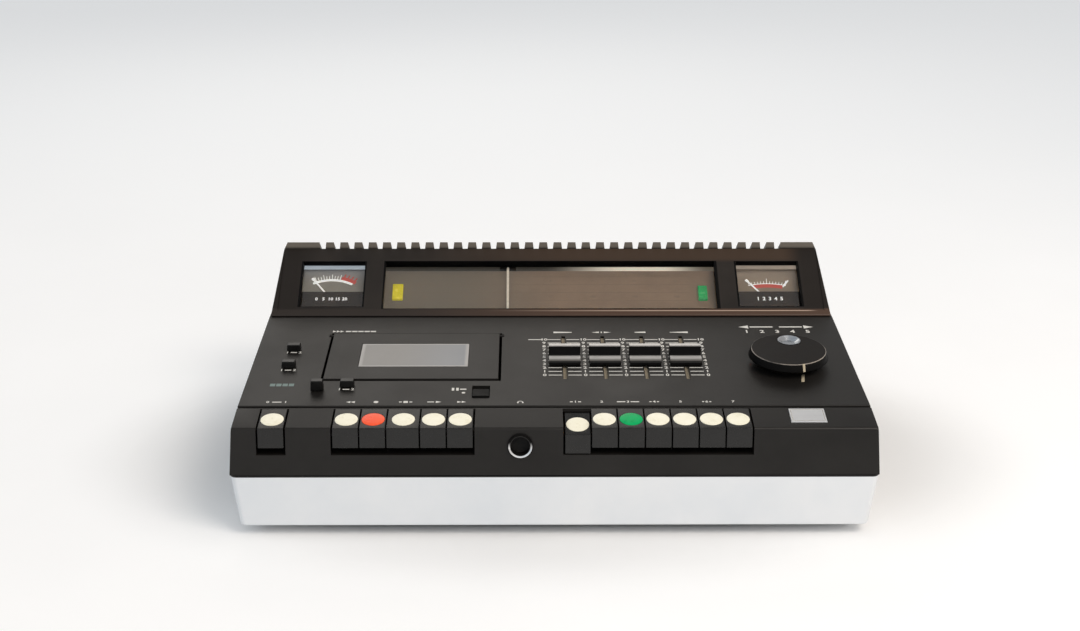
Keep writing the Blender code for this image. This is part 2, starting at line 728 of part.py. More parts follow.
def make_front_bezel():
    """The front wall and the shelf that the keys come through, one moulding with closed ends.
    The shelf steps down at its rear, so that a dark line shows in front of the panel."""
    back = SHELF_END[0] - GAP
    drop = SHELF.profile(SHELF.length - GAP)[1]
    outline = [
        (0.0, SHELL_Z),
        FRONT.profile(FRONT.length - EDGE_RADIUS * 2),
        SHELF.profile(EDGE_RADIUS * 1.5),
        SHELF.profile(SHELF.length - SEAM_WIDTH),
        SHELF.profile(SHELF.length - SEAM_WIDTH, -SEAM_DEPTH),
        (back, drop - SEAM_DEPTH),
        (back, SHELL_Z),
    ]
    outline = [(FRONT_Y + y, z) for y, z in outline]
    half = CASE_WIDTH / 2
    bezel = extrusion("front_bezel", outline, -half, half, BLACK_PLASTIC, side_draft)
    soften(bezel, EDGE_RADIUS)
    inner = [
        (WALL, SPLIT_Z - OVERRUN),
        FRONT.profile(FRONT.length - WALL, -WALL),
        (back + OVERRUN, drop - WALL + SHELF_RISE / SHELF_DEPTH * OVERRUN),
        (back + OVERRUN, SPLIT_Z - OVERRUN),
    ]
    inner = [(FRONT_Y + y, z) for y, z in inner]
    cavity = extrusion("bezel_cavity", inner, WALL - half, half - WALL, None, side_draft)
    cut(bezel, cavity)
    sill_front = FRONT.profile(SLOT_BOTTOM_Z - SPLIT_Z)[0] + WALL / 2
    sill = block("sill", (half - WALL) * 2 - SMALL_EDGE, back - GAP - sill_front, WALL)
    sill.location = (0, FRONT_Y + (back - GAP + sill_front) / 2, SLOT_BOTTOM_Z - GAP - WALL)
    join(bezel, sill)
    for name, left, right in key_openings():
        cut(bezel, key_opening_cutter(name, left, right))
    hole_depth = PHONE_DEPTH + GAP * 2
    phone_hole = cylinder("phone_hole", PHONE_BODY_RADIUS + GAP, -hole_depth, PHONE_DEPTH, ROUND_STEPS)
    cut(bezel, place_phone(phone_hole))
    plate_bed = block(
        "plate_bed", PLATE_WIDTH + GAP * 2, PLATE_LENGTH + GAP * 2, PLATE_BED + OVERRUN
    )
    cut(bezel, SHELF.put(plate_bed, PLATE_X, PLATE_S, -PLATE_BED))
    return smooth(bezel)


def key_openings():
    half = KEY_PITCH / 2
    return (
        ("power_opening", POWER_KEY_X - half, POWER_KEY_X + half),
        ("deck_opening", DECK_KEYS_LEFT, DECK_KEYS_RIGHT),
        ("band_opening", BAND_KEYS_LEFT, BAND_KEYS_RIGHT),
    )


def key_opening_cutter(name, left, right):
    """A wedge that opens the front wall from the slot's floor up, and the shelf back to its rear."""
    rear = SHELF.profile(KEY_REAR_S + KEY_GAP)[0]
    top = SHELF_END[1] + OVERRUN * 2
    outline = [
        (-OVERRUN, SLOT_BOTTOM_Z),
        (rear, SLOT_BOTTOM_Z),
        (rear, top),
        (-OVERRUN, top),
    ]
    outline = [(FRONT_Y + y, z) for y, z in outline]
    return extrusion(name, outline, left - KEY_GAP, right + KEY_GAP)


def key_mesh(width):
    """A key: an angled cap with an inset for its disc, and an arm that hooks over the rod."""
    pivot = (KEY_PIVOT_Y, KEY_PIVOT_Z)
    front_low = FRONT.profile((KEY_BOTTOM_Z - SPLIT_Z) / math.cos(FRONT.angle - math.pi / 2), KEY_PROUD)
    front_high = FRONT.profile(FRONT.length, KEY_PROUD)
    top_front = SHELF.profile(0, KEY_PROUD)
    top_rear = SHELF.profile(KEY_REAR_S, KEY_PROUD)
    inner_rear = SHELF.profile(KEY_REAR_S, KEY_PROUD - KEY_WALL)
    inner_front = SHELF.profile(KEY_WALL, KEY_PROUD - KEY_WALL)
    inner_low = (front_low[0] + KEY_WALL, front_low[1])
    cap = [front_low, front_high, top_front, top_rear, inner_rear, inner_front, inner_low]
    cap = [(y - pivot[0], z - pivot[1]) for y, z in cap]
    half = width / 2 - KEY_GAP / 2
    key = extrusion("key", cap, -half, half, "key_plastic")
    soften(key, SMALL_EDGE, 1, 20)
    arm = [
        SHELF.profile(KEY_REAR_S - KEY_WALL * 3, KEY_PROUD - KEY_WALL / 2),
        SHELF.profile(KEY_REAR_S, KEY_PROUD - KEY_WALL / 2),
        (SHELF.profile(KEY_REAR_S)[0], pivot[1] + KEY_HOOK_RADIUS),
        (pivot[0] + KEY_HOOK_RADIUS / 2, pivot[1] + KEY_HOOK_RADIUS),
        (pivot[0] + KEY_HOOK_RADIUS, pivot[1] + KEY_HOOK_RADIUS / 2),
        (pivot[0] + KEY_HOOK_RADIUS, pivot[1] - KEY_ROD_RADIUS),
        (pivot[0] - KEY_HOOK_RADIUS, pivot[1] - KEY_ROD_RADIUS),
        (SHELF.profile(KEY_REAR_S - KEY_WALL * 3)[0], pivot[1] + KEY_ARM_THICK / 2),
    ]
    arm = [(y - pivot[0], z - pivot[1]) for y, z in arm]
    arm_solid = extrusion("key_arm", arm, -KEY_ARM_WIDTH / 2, KEY_ARM_WIDTH / 2)
    join(key, arm_solid)
    hook = cylinder("key_hook", KEY_ROD_RADIUS + GAP, -width, width, SMALL_ROUND_STEPS)
    hook.rotation_euler = (0, math.pi / 2, 0)
    mouth = block("key_mouth", width, (KEY_ROD_RADIUS + GAP) * 2, KEY_HOOK_RADIUS * 2)
    mouth.location = (0, 0, -KEY_HOOK_RADIUS * 2)
    disc = cylinder("key_disc", KEY_DISC_RADIUS + DISC_RIM, -KEY_DISC_DEPTH, OVERRUN, ROUND_STEPS)
    place = SHELF.profile(KEY_DISC_S, KEY_PROUD)
    disc.location = (0, place[0] - pivot[0], place[1] - pivot[1])
    disc.rotation_euler = (SHELF.angle, 0, 0)
    cut(key, hook, mouth, disc)
    return finished_mesh(key)


def make_keys():
    """Thirteen keys on two rods. The first band key is latched down, and the others stand up."""
    narrow, wide = key_mesh(KEY_PITCH), key_mesh(WIDE_KEY_WIDTH)
    pivot = (0.0, FRONT_Y + KEY_PIVOT_Y, KEY_PIVOT_Z)
    places = [("power_key", POWER_KEY_X, narrow)]
    x = DECK_KEYS_LEFT
    names = ("rewind_key", "record_key", "stop_key", "start_key", "forward_key")
    for name, width in zip(names, DECK_KEY_WIDTHS):
        places.append((name, x + width / 2, narrow if width == KEY_PITCH else wide))
        x += width
    for i in range(BAND_KEY_COUNT):
        places.append((f"band_key_{i + 1}", BAND_KEYS_LEFT + (i + 0.5) * KEY_PITCH, narrow))
    for name, x, mesh in places:
        key = new_object(name, mesh)
        key.location = (x, pivot[1], pivot[2])
        if name == "band_key_1":
            key.rotation_euler = (math.radians(KEY_TRAVEL_DEG), 0, 0)
        smooth(key)
    for name, left, right in rod_spans():
        rod = cylinder(name, KEY_ROD_RADIUS, left, right, SMALL_ROUND_STEPS, "steel")
        rod.location = (0, pivot[1], pivot[2])
        rod.rotation_euler = (0, math.pi / 2, 0)
        smooth(rod)


def rod_spans():
    """Each rod runs through the lugs at both ends of its keys."""
    out = LUG_CLEAR + LUG_THICK
    return (
        ("deck_key_rod", POWER_KEY_X - KEY_PITCH / 2 - out, DECK_KEYS_RIGHT + out),
        ("band_key_rod", BAND_KEYS_LEFT - out, BAND_KEYS_RIGHT + out),
    )


def place_phone(obj):
    """Sets a piece turned about Z on the headphone socket's axis, out of the front wall."""
    obj.location = (PHONE_X, FRONT_Y + FRONT.profile(PHONE_Z - SPLIT_Z)[0], PHONE_Z)
    obj.rotation_euler = (FRONT.angle, 0, 0)
    return obj


def make_phone_socket():
    """A round socket with a bright ring and a deep bore."""
    profile = [
        (0, -PHONE_DEPTH),
        (PHONE_BODY_RADIUS, -PHONE_DEPTH),
        (PHONE_BODY_RADIUS, GAP),
        (PHONE_RING_RADIUS, GAP),
        (PHONE_RING_RADIUS, PHONE_RING_PROUD / 2),
        (PHONE_RING_RADIUS - PHONE_RING_PROUD / 2, PHONE_RING_PROUD),
        (PHONE_BORE_RADIUS, PHONE_RING_PROUD),
        (PHONE_BORE_RADIUS, -PHONE_RECESS),
        (0, -PHONE_RECESS),
    ]
    socket = turned("phone_socket", profile, ROUND_STEPS, "bright_metal")
    smooth(place_phone(socket))


def make_plate():
    plate = block("badge_plate", PLATE_WIDTH, PLATE_LENGTH, PLATE_THICK, "bright_metal", GAP)
    SHELF.put(plate, PLATE_X, PLATE_S, GAP - PLATE_BED)


def make_deck_panel():
    """The main cover: a sloping plate with side and rear walls, cut for the lid, knob and sliders."""
    seat_y = PANEL_END[0]
    half = CASE_WIDTH / 2
    outline = [
        (SHELF_END[0], SHELL_Z),
        SHELF_END,
        PANEL_END,
        (CASE_DEPTH, PANEL_END[1]),
        (CASE_DEPTH, SHELL_Z),
    ]
    outline = [(FRONT_Y + y, z) for y, z in outline]
    panel = extrusion("deck_panel", outline, -half, half, BLACK_PLASTIC, side_draft)
    soften(panel, EDGE_RADIUS, 2, 12)
    inner = [
        (SHELF_END[0] - OVERRUN, SPLIT_Z - OVERRUN),
        (SHELF_END[0] - OVERRUN, SHELF_END[1] - WALL - PANEL_RISE / PANEL_DEPTH * OVERRUN),
        (PANEL_END[0], PANEL_END[1] - WALL),
        (CASE_DEPTH - WALL, PANEL_END[1] - WALL),
        (CASE_DEPTH - WALL, SPLIT_Z - OVERRUN),
    ]
    inner = [(FRONT_Y + y, z) for y, z in inner]
    cut(panel, extrusion("panel_cavity", inner, WALL - half, half - WALL, None, side_draft))
    opening_front = seat_y + HOUSING_WALL * 3
    opening_rear = CASE_DEPTH - WALL * 4
    works = block(
        "works_opening",
        CASE_WIDTH - HOUSING_INSET * 2 - WALL * 10,
        opening_rear - opening_front,
        WALL + OVERRUN * 2,
    )
    works.location = (0, FRONT_Y + (opening_front + opening_rear) / 2, PANEL_END[1] - WALL - OVERRUN)
    cut(panel, works)
    lug_top = PANEL.profile(KEY_PIVOT_BACK)[1] - WALL / 2
    for x in lug_places():
        lug = block("lug", LUG_THICK, LUG_DEPTH, lug_top - (KEY_PIVOT_Z - LUG_BELOW))
        lug.location = (x, FRONT_Y + KEY_PIVOT_Y, KEY_PIVOT_Z - LUG_BELOW)
        join(panel, lug)
    bore = cylinder("rod_bore", KEY_ROD_RADIUS + GAP, -half + WALL * 2, half - WALL * 2, SMALL_ROUND_STEPS)
    bore.location = (0, FRONT_Y + KEY_PIVOT_Y, KEY_PIVOT_Z)
    bore.rotation_euler = (0, math.pi / 2, 0)
    cut(panel, bore)
    lid_hole = block(
        "lid_hole",
        LID_RIGHT - LID_LEFT + LID_GAP * 2,
        LID_REAR_S - LID_FRONT_S + LID_GAP * 2,
        WALL + OVERRUN * 2,
    )
    cut(panel, PANEL.put(lid_hole, CASSETTE_MID_X, lid_mid_s(), -WALL - OVERRUN))
    notch = block(
        "hinge_notches",
        LID_RIGHT - LID_LEFT + (LID_PIN_LENGTH + GAP) * 2,
        LID_NOTCH_LENGTH,
        WALL + OVERRUN * 2,
    )
    cut(panel, PANEL.put(notch, CASSETTE_MID_X, LID_REAR_S - LID_HINGE_IN, -WALL - OVERRUN))
    for i in range(SLIDER_COUNT):
        slot = block(
            f"slider_slot_{i}", SLOT_WIDTH, SLOT_REAR_S - SLOT_FRONT_S, WALL + OVERRUN * 2
        )
        slot_mid = (SLOT_REAR_S + SLOT_FRONT_S) / 2
        cut(panel, PANEL.put(slot, slider_x(i), slot_mid, -WALL - OVERRUN))
    for name, (x, s) in SWITCH_PLACES.items():
        slot = block(
            f"{name}_slot",
            SWITCH_SLOT_WIDTH,
            SWITCH_STEM_LENGTH + SWITCH_TRAVEL + SWITCH_CLEAR * 2,
            WALL + OVERRUN * 2,
        )
        cut(panel, PANEL.put(slot, x, s + SWITCH_TRAVEL / 2, -WALL - OVERRUN))
    pause_mid_s = PAUSE_FRONT_S + PAUSE_OPENING_LENGTH / 2
    pocket = block(
        "pause_pocket",
        PAUSE_OPENING_WIDTH + POCKET_WALL * 2,
        PAUSE_OPENING_LENGTH + POCKET_WALL * 2,
        PAUSE_DEPTH + POCKET_WALL - WALL / 2,
    )
    join(panel, PANEL.put(pocket, PAUSE_X, pause_mid_s, -PAUSE_DEPTH - POCKET_WALL))
    pause = block("pause_opening", PAUSE_OPENING_WIDTH, PAUSE_OPENING_LENGTH, PAUSE_DEPTH + OVERRUN)
    cut(panel, PANEL.put(pause, PAUSE_X, pause_mid_s, -PAUSE_DEPTH))
    shaft_hole = cylinder(
        "shaft_hole", SHAFT_RADIUS + GAP, -BUSH_HEIGHT - OVERRUN, OVERRUN, ROUND_STEPS
    )
    bush = cylinder("shaft_bush", BUSH_RADIUS, -BUSH_HEIGHT, -WALL / 2, ROUND_STEPS)
    join(panel, PANEL.put(bush, KNOB_X, KNOB_S))
    cut(panel, PANEL.put(shaft_hole, KNOB_X, KNOB_S))
    return smooth(panel, 12)


def lug_places():
    places = []
    for _, left, right in key_openings():
        places.append(left - LUG_CLEAR - LUG_THICK / 2)
        places.append(right + LUG_CLEAR + LUG_THICK / 2)
    return places


def lid_mid_s():
    return (LID_FRONT_S + LID_REAR_S) / 2


def slider_x(index):
    return SLIDER_FIRST_X + index * SLIDER_PITCH


def make_cassette_lid():
    """A flat lid with a stepped window, stiffening ribs below, and two hinge pins at the rear.
    Its origin is on the hinge axis."""
    width = LID_RIGHT - LID_LEFT
    length = LID_REAR_S - LID_FRONT_S
    hinge_s = LID_REAR_S - LID_HINGE_IN
    hinge_n = LID_PROUD - LID_THICK / 2
    lid = block("lid_plate", width, length, LID_THICK, BLACK_PLASTIC)
    lid.data.transform(Matrix.Translation((0, lid_mid_s() - hinge_s, -LID_THICK / 2)))
    soften(lid, SMALL_EDGE, 2)
    for side in (-1, 1):
        rib = block("lid_rib", LID_RIB_THICK, length - LID_RIB_IN * 4, LID_RIB_HEIGHT + LID_THICK / 2)
        rib.location = (
            side * (width / 2 - LID_RIB_IN),
            lid_mid_s() - hinge_s,
            -LID_THICK / 2 - LID_RIB_HEIGHT,
        )
        join(lid, rib)
    pin_end = width / 2 + LID_PIN_LENGTH
    pins = cylinder("lid_pins", LID_PIN_RADIUS, -pin_end, pin_end, TINY_ROUND_STEPS)
    pins.rotation_euler = (0, math.pi / 2, 0)
    join(lid, pins)
    window_width = WINDOW_RIGHT - WINDOW_LEFT
    window_length = WINDOW_REAR_S - WINDOW_FRONT_S
    window_mid_s = (WINDOW_REAR_S + WINDOW_FRONT_S) / 2
    window_x = (WINDOW_LEFT + WINDOW_RIGHT) / 2 - CASSETTE_MID_X
    bed = block("window_bed", window_width, window_length, WINDOW_THICK + OVERRUN)
    bed.location = (window_x, window_mid_s - hinge_s, LID_THICK / 2 - WINDOW_THICK)
    light = block(
        "window_light",
        window_width - WINDOW_LEDGE * 2,
        window_length - WINDOW_LEDGE * 2,
        LID_THICK + OVERRUN * 2,
    )
    light.location = (window_x, window_mid_s - hinge_s, -LID_THICK / 2 - OVERRUN)
    cut(lid, bed, light)
    lid_mesh = finished_mesh(lid)
    PANEL.put(new_object("cassette_lid", lid_mesh), CASSETTE_MID_X, hinge_s, hinge_n)
    pane = block(
        "lid_window",
        window_width - GAP * 2,
        window_length - GAP * 2,
        WINDOW_THICK - GAP,
        "window_pane",
    )
    pane.data.transform(
        Matrix.Translation((window_x, window_mid_s - hinge_s, LID_THICK / 2 - WINDOW_THICK + GAP))
    )
    PANEL.put(pane, CASSETTE_MID_X, hinge_s, hinge_n)


def make_cassette_well():
    """The tub under the lid, with holes for the spindles and the capstan."""
    top_n = -WALL - GAP
    width = LID_RIGHT - LID_LEFT + (WELL_MARGIN + LID_PIN_LENGTH) * 2
    length = LID_REAR_S - LID_FRONT_S + WELL_MARGIN * 2
    floor_n = top_n - WELL_DEPTH
    well = block("cassette_well", width + WELL_WALL * 2, length + WELL_WALL * 2, WELL_DEPTH + WELL_FLOOR)
    well.data.materials.append(material("well_plastic"))
    hollow = block("well_hollow", width, length, WELL_DEPTH + OVERRUN)
    cut(well, PANEL.put(hollow, CASSETTE_MID_X, lid_mid_s(), floor_n))
    for i, side in enumerate((-1, 1)):
        hole = cylinder(
            f"spindle_hole_{i}",
            SPINDLE_AXLE_RADIUS + AXLE_CLEARANCE,
            -WELL_FLOOR - OVERRUN,
            OVERRUN,
            TINY_ROUND_STEPS,
        )
        cut(well, PANEL.put(hole, CASSETTE_MID_X + side * HUB_SPACING / 2, HUB_S, floor_n))
    hole = cylinder(
        "capstan_hole",
        CAPSTAN_RADIUS + AXLE_CLEARANCE,
        -WELL_FLOOR - OVERRUN,
        OVERRUN,
        TINY_ROUND_STEPS,
    )
    cut(well, PANEL.put(hole, capstan_x(), capstan_s(), floor_n))
    PANEL.put(well, CASSETTE_MID_X, lid_mid_s(), floor_n - WELL_FLOOR)


def well_floor_n():
    return -WALL - GAP - WELL_DEPTH


def capstan_x():
    return CASSETTE_MID_X + ROLLER_OFFSET


def roller_s():
    return LID_FRONT_S + BRIDGE_LENGTH / 2 + GAP


def capstan_s():
    """Behind the roller, which closes on it when the bridge moves up."""
    return roller_s() + ROLLER_RADIUS + BRIDGE_TRAVEL + CAPSTAN_RADIUS + GAP


def make_spindles():
    """Two reel spindles, each with three drive fins on a round hub."""
    floor_n = well_floor_n()
    for name, side in (("supply_spindle", -1), ("takeup_spindle", 1)):
        profile = [
            (0, -WELL_FLOOR),
            (SPINDLE_AXLE_RADIUS, -WELL_FLOOR),
            (SPINDLE_AXLE_RADIUS, GAP),
            (SPINDLE_BASE_RADIUS, GAP),
            (SPINDLE_BASE_RADIUS, SPINDLE_BASE_THICK),
            (SPINDLE_RADIUS, SPINDLE_BASE_THICK),
            (SPINDLE_RADIUS, SPINDLE_HEIGHT - SPINDLE_RADIUS / 2),
            (SPINDLE_RADIUS / 2, SPINDLE_HEIGHT),
            (0, SPINDLE_HEIGHT),
        ]
        spindle = turned(name, profile, SMALL_ROUND_STEPS, "well_plastic")
        for i in range(3):
            fin = block("fin", (SPINDLE_RADIUS + SPINDLE_FIN_OUT), SPINDLE_FIN, SPINDLE_HEIGHT * 0.6)
            fin.data.transform(Matrix.Translation(((SPINDLE_RADIUS + SPINDLE_FIN_OUT) / 2, 0, 0)))
            fin.data.transform(Matrix.Rotation(math.radians(120 * i), 4, "Z"))
            x = CASSETTE_MID_X + side * HUB_SPACING / 2
            join(spindle, PANEL.put(fin, x, HUB_S, floor_n + SPINDLE_BASE_THICK / 2))
        smooth(PANEL.put(spindle, CASSETTE_MID_X + side * HUB_SPACING / 2, HUB_S, floor_n))


def make_head_bridge():
    """The sliding plate that carries the two heads and the pinch roller's pin."""
    floor_n = well_floor_n() + GAP
    bridge = block("head_bridge", BRIDGE_WIDTH, BRIDGE_LENGTH, BRIDGE_THICK, "steel")
    for name, x, width in (("play_head", 0.0, HEAD_WIDTH), ("erase_head", -ERASE_OFFSET, ERASE_WIDTH)):
        head = block(name, width, HEAD_LENGTH, HEAD_HEIGHT, None, SMALL_EDGE)
        head_s = roller_s() + BRIDGE_LENGTH / 2 - HEAD_LENGTH / 2 + GAP
        join(bridge, PANEL.put(head, CASSETTE_MID_X + x, head_s, floor_n + BRIDGE_THICK / 2))
    pin_high = BRIDGE_THICK + ROLLER_HEIGHT + GAP * 3
    pin = cylinder("roller_pin", ROLLER_PIN_RADIUS, BRIDGE_THICK / 2, pin_high, TINY_ROUND_STEPS)
    join(bridge, PANEL.put(pin, capstan_x(), roller_s(), floor_n))
    PANEL.put(bridge, CASSETTE_MID_X, roller_s(), floor_n)
    roller = ring_solid(
        "pinch_roller",
        ROLLER_RADIUS,
        ROLLER_PIN_RADIUS + GAP,
        0,
        ROLLER_HEIGHT,
        ROUND_STEPS,
        "belt_rubber",
    )
    smooth(PANEL.put(roller, capstan_x(), roller_s(), floor_n + BRIDGE_THICK + GAP))


def make_capstan_drive():
    """The capstan with its flywheel, the motor, its pulley and the belt, all under the well."""
    under_n = well_floor_n() - WELL_FLOOR
    wheel_high = -FLYWHEEL_BELOW
    wheel_low = wheel_high - FLYWHEEL_THICK
    rim = FLYWHEEL_RADIUS - FLYWHEEL_RIM
    profile = [
        (0, wheel_low),
        (FLYWHEEL_RADIUS, wheel_low),
        (FLYWHEEL_RADIUS, wheel_high),
        (rim, wheel_high),
        (rim, wheel_high - FLYWHEEL_DISH),
        (CAPSTAN_RADIUS * 4, wheel_high - FLYWHEEL_DISH),
        (CAPSTAN_RADIUS * 4, wheel_high),
        (CAPSTAN_RADIUS, wheel_high),
        (CAPSTAN_RADIUS, WELL_FLOOR + CAPSTAN_HEIGHT),
        (0, WELL_FLOOR + CAPSTAN_HEIGHT),
    ]
    capstan = turned("capstan_flywheel", profile, BIG_ROUND_STEPS, "steel")
    smooth(PANEL.put(capstan, capstan_x(), capstan_s(), under_n))
    pulley = turned(
        "motor_pulley",
        [
            (PULLEY_BORE, wheel_low),
            (PULLEY_RADIUS, wheel_low),
            (PULLEY_RADIUS, wheel_high),
            (PULLEY_BORE, wheel_high),
            (PULLEY_BORE, wheel_low),
        ],
        ROUND_STEPS,
        "steel",
    )
    smooth(PANEL.put(pulley, MOTOR_X, MOTOR_S, under_n))
    can_high = -MOTOR_BELOW
    can = [
        (0, can_high - MOTOR_HEIGHT),
        (MOTOR_RADIUS - SMALL_EDGE * 2, can_high - MOTOR_HEIGHT),
        (MOTOR_RADIUS, can_high - MOTOR_HEIGHT + SMALL_EDGE * 2),
        (MOTOR_RADIUS, can_high - MOTOR_FLANGE_THICK),
        (MOTOR_RADIUS + MOTOR_FLANGE, can_high - MOTOR_FLANGE_THICK),
        (MOTOR_RADIUS + MOTOR_FLANGE, can_high),
        (MOTOR_SHAFT_RADIUS, can_high),
        (MOTOR_SHAFT_RADIUS, -FLYWHEEL_BELOW / 2),
        (0, -FLYWHEEL_BELOW / 2),
    ]
    motor = turned("motor", can, ROUND_STEPS, "steel")
    for i in range(MOTOR_POST_COUNT):
        turn = math.radians(MOTOR_POST_FIRST_DEG + MOTOR_POST_STEP_DEG * i)
        reach = MOTOR_RADIUS + MOTOR_FLANGE / 2
        post = cylinder(
            f"motor_post_{i}", MOTOR_POST_RADIUS, can_high - MOTOR_FLANGE_THICK / 2, -GAP, TINY_ROUND_STEPS
        )
        join(
            motor,
            PANEL.put(post, MOTOR_X + reach * math.cos(turn), MOTOR_S + reach * math.sin(turn), under_n),
        )
    smooth(PANEL.put(motor, MOTOR_X, MOTOR_S, under_n))
    make_belt(under_n + (wheel_low + wheel_high - BELT_WIDTH) / 2)


def make_belt(low_n):
    """A flat loop round the flywheel and the pulley: two arcs joined by their outer tangents."""
    dx, ds = capstan_x() - MOTOR_X, capstan_s() - MOTOR_S
    span = math.hypot(dx, ds)
    heading = math.atan2(ds, dx)
    big, small = FLYWHEEL_RADIUS + GAP, PULLEY_RADIUS + GAP
    lean = math.acos((small - big) / span)
    steps = SMALL_ROUND_STEPS

    def loop(offset):
        points = []
        for centre_x, centre_s, radius, start, end in (
            (MOTOR_X, MOTOR_S, small, heading + lean, heading + 2 * math.pi - lean),
            (capstan_x(), capstan_s(), big, heading - lean, heading + lean),
        ):
            for i in range(steps + 1):
                turn = start + (end - start) * i / steps
                reach = radius + offset
                points.append((centre_x + reach * math.cos(turn), centre_s + reach * math.sin(turn)))
        return points

    inner, outer = loop(0.0), loop(BELT_THICK)
    count = len(inner)
    points, faces = [], []
    for ring, height in ((outer, 0.0), (outer, BELT_WIDTH), (inner, BELT_WIDTH), (inner, 0.0)):
        points += [(x - MOTOR_X, s - MOTOR_S, height) for x, s in ring]
    for k in range(4):
        for i in range(count):
            j = (i + 1) % count
            a, b = k * count, (k + 1) % 4 * count
            faces.append((a + i, a + j, b + j, b + i))
    belt = new_object("drive_belt", mesh_from("drive_belt", points, faces), "belt_rubber")
    smooth(PANEL.put(belt, MOTOR_X, MOTOR_S, low_n))


def make_inside():
    """The main circuit board on its standoffs, and the mains transformer on its flange."""
    floor_z = TRAY_Z + TRAY_FLOOR + GAP
    board = block("main_board", BOARD_WIDTH, BOARD_LENGTH, BOARD_THICK, "circuit_board")
    for i, (side_x, side_y) in enumerate(((-1, -1), (1, -1), (1, 1), (-1, 1))):
        standoff = cylinder(
            f"standoff_{i}", STANDOFF_RADIUS, 0, BOARD_RAISE + BOARD_THICK / 2, TINY_ROUND_STEPS
        )
        standoff.location = (
            BOARD_X + side_x * (BOARD_WIDTH / 2 - STANDOFF_INSET),
            BOARD_Y + side_y * (BOARD_LENGTH / 2 - STANDOFF_INSET),
            floor_z,
        )
        join(board, standoff)
    board.location = (BOARD_X, BOARD_Y, floor_z + BOARD_RAISE)
    core = block("transformer", CORE_WIDTH, CORE_LENGTH, CORE_HEIGHT, "steel")
    flange = block("flange", FLANGE_WIDTH, CORE_LENGTH - COIL_OUT, FLANGE_THICK)
    coil = block("coil", COIL_WIDTH, CORE_LENGTH + COIL_OUT * 2, CORE_HEIGHT - COIL_OUT)
    for piece, raise_by in ((core, 0.0), (flange, 0.0), (coil, COIL_OUT / 2)):
        piece.location = (CORE_X, CORE_Y, floor_z + raise_by)
    join(core, flange, coil)


def slider_mesh():
    """A slider cap: a tall thin back, a dished seat for the finger, and a stem."""
    half = SLIDER_LENGTH / 2
    wall = half - SLIDER_BACK_THICK
    outline = [
        (-half, 0.0),
        (-half, SLIDER_FRONT - SLIDER_DIP),
        (-half + SLIDER_RIDGE / 2, SLIDER_FRONT),
        (-half + SLIDER_RIDGE * 2, SLIDER_FRONT),
        ((wall - half) / 2, SLIDER_FRONT - SLIDER_DIP / 2),
        (wall - SLIDER_RIDGE, SLIDER_FRONT - SLIDER_DIP / 3),
        (wall, SLIDER_FRONT + SLIDER_DIP),
        (wall + SLIDER_DIP / 3, SLIDER_BACK - SLIDER_DIP / 2),
        (wall + SLIDER_DIP, SLIDER_BACK),
        (half - SLIDER_DIP, SLIDER_BACK),
        (half, SLIDER_BACK - SLIDER_RIDGE),
        (half, 0.0),
    ]
    cap = extrusion("slider", outline, -SLIDER_WIDTH / 2, SLIDER_WIDTH / 2, BLACK_PLASTIC)
    stem = block("slider_stem", SLIDER_STEM_WIDTH, SLIDER_STEM_LENGTH, SLIDER_STEM_DEPTH + SLIDER_FRONT / 2)
    stem.location = (0, 0, -SLIDER_STEM_DEPTH)
    join(cap, stem)
    return finished_mesh(cap)


def make_sliders():
    mesh = slider_mesh()
    for i in range(SLIDER_COUNT):
        cap = new_object(f"slider_knob_{i + 1}", mesh)
        PANEL.put(cap, slider_x(i), SLIDER_MID_S, SLIDER_CLEAR)
    first, last = slider_x(0), slider_x(SLIDER_COUNT - 1)
    middle = (first + last) / 2
    pot_n = -WALL - GAP - POT_HEIGHT
    slot_mid = (SLOT_FRONT_S + SLOT_REAR_S) / 2
    length = SLOT_REAR_S - SLOT_FRONT_S + POT_MARGIN * 2
    width = last - first + POT_WIDTH + POT_BOARD_MARGIN * 2
    board = block("slider_bank", width, length, POT_BOARD_THICK, "circuit_board")
    PANEL.put(board, middle, slot_mid, pot_n - POT_BOARD_THICK)
    for i in range(SLIDER_COUNT):
        pot = block(f"pot_{i}", POT_WIDTH, length - POT_MARGIN, POT_HEIGHT + POT_BOARD_THICK / 2)
        join(board, PANEL.put(pot, slider_x(i), slot_mid, pot_n - POT_BOARD_THICK / 2))
        track = block(
            f"pot_track_{i}", POT_CAVITY_WIDTH, SLOT_REAR_S - SLOT_FRONT_S, POT_HEIGHT + OVERRUN
        )
        cut(board, PANEL.put(track, slider_x(i), slot_mid, pot_n + POT_BOARD_THICK / 2))


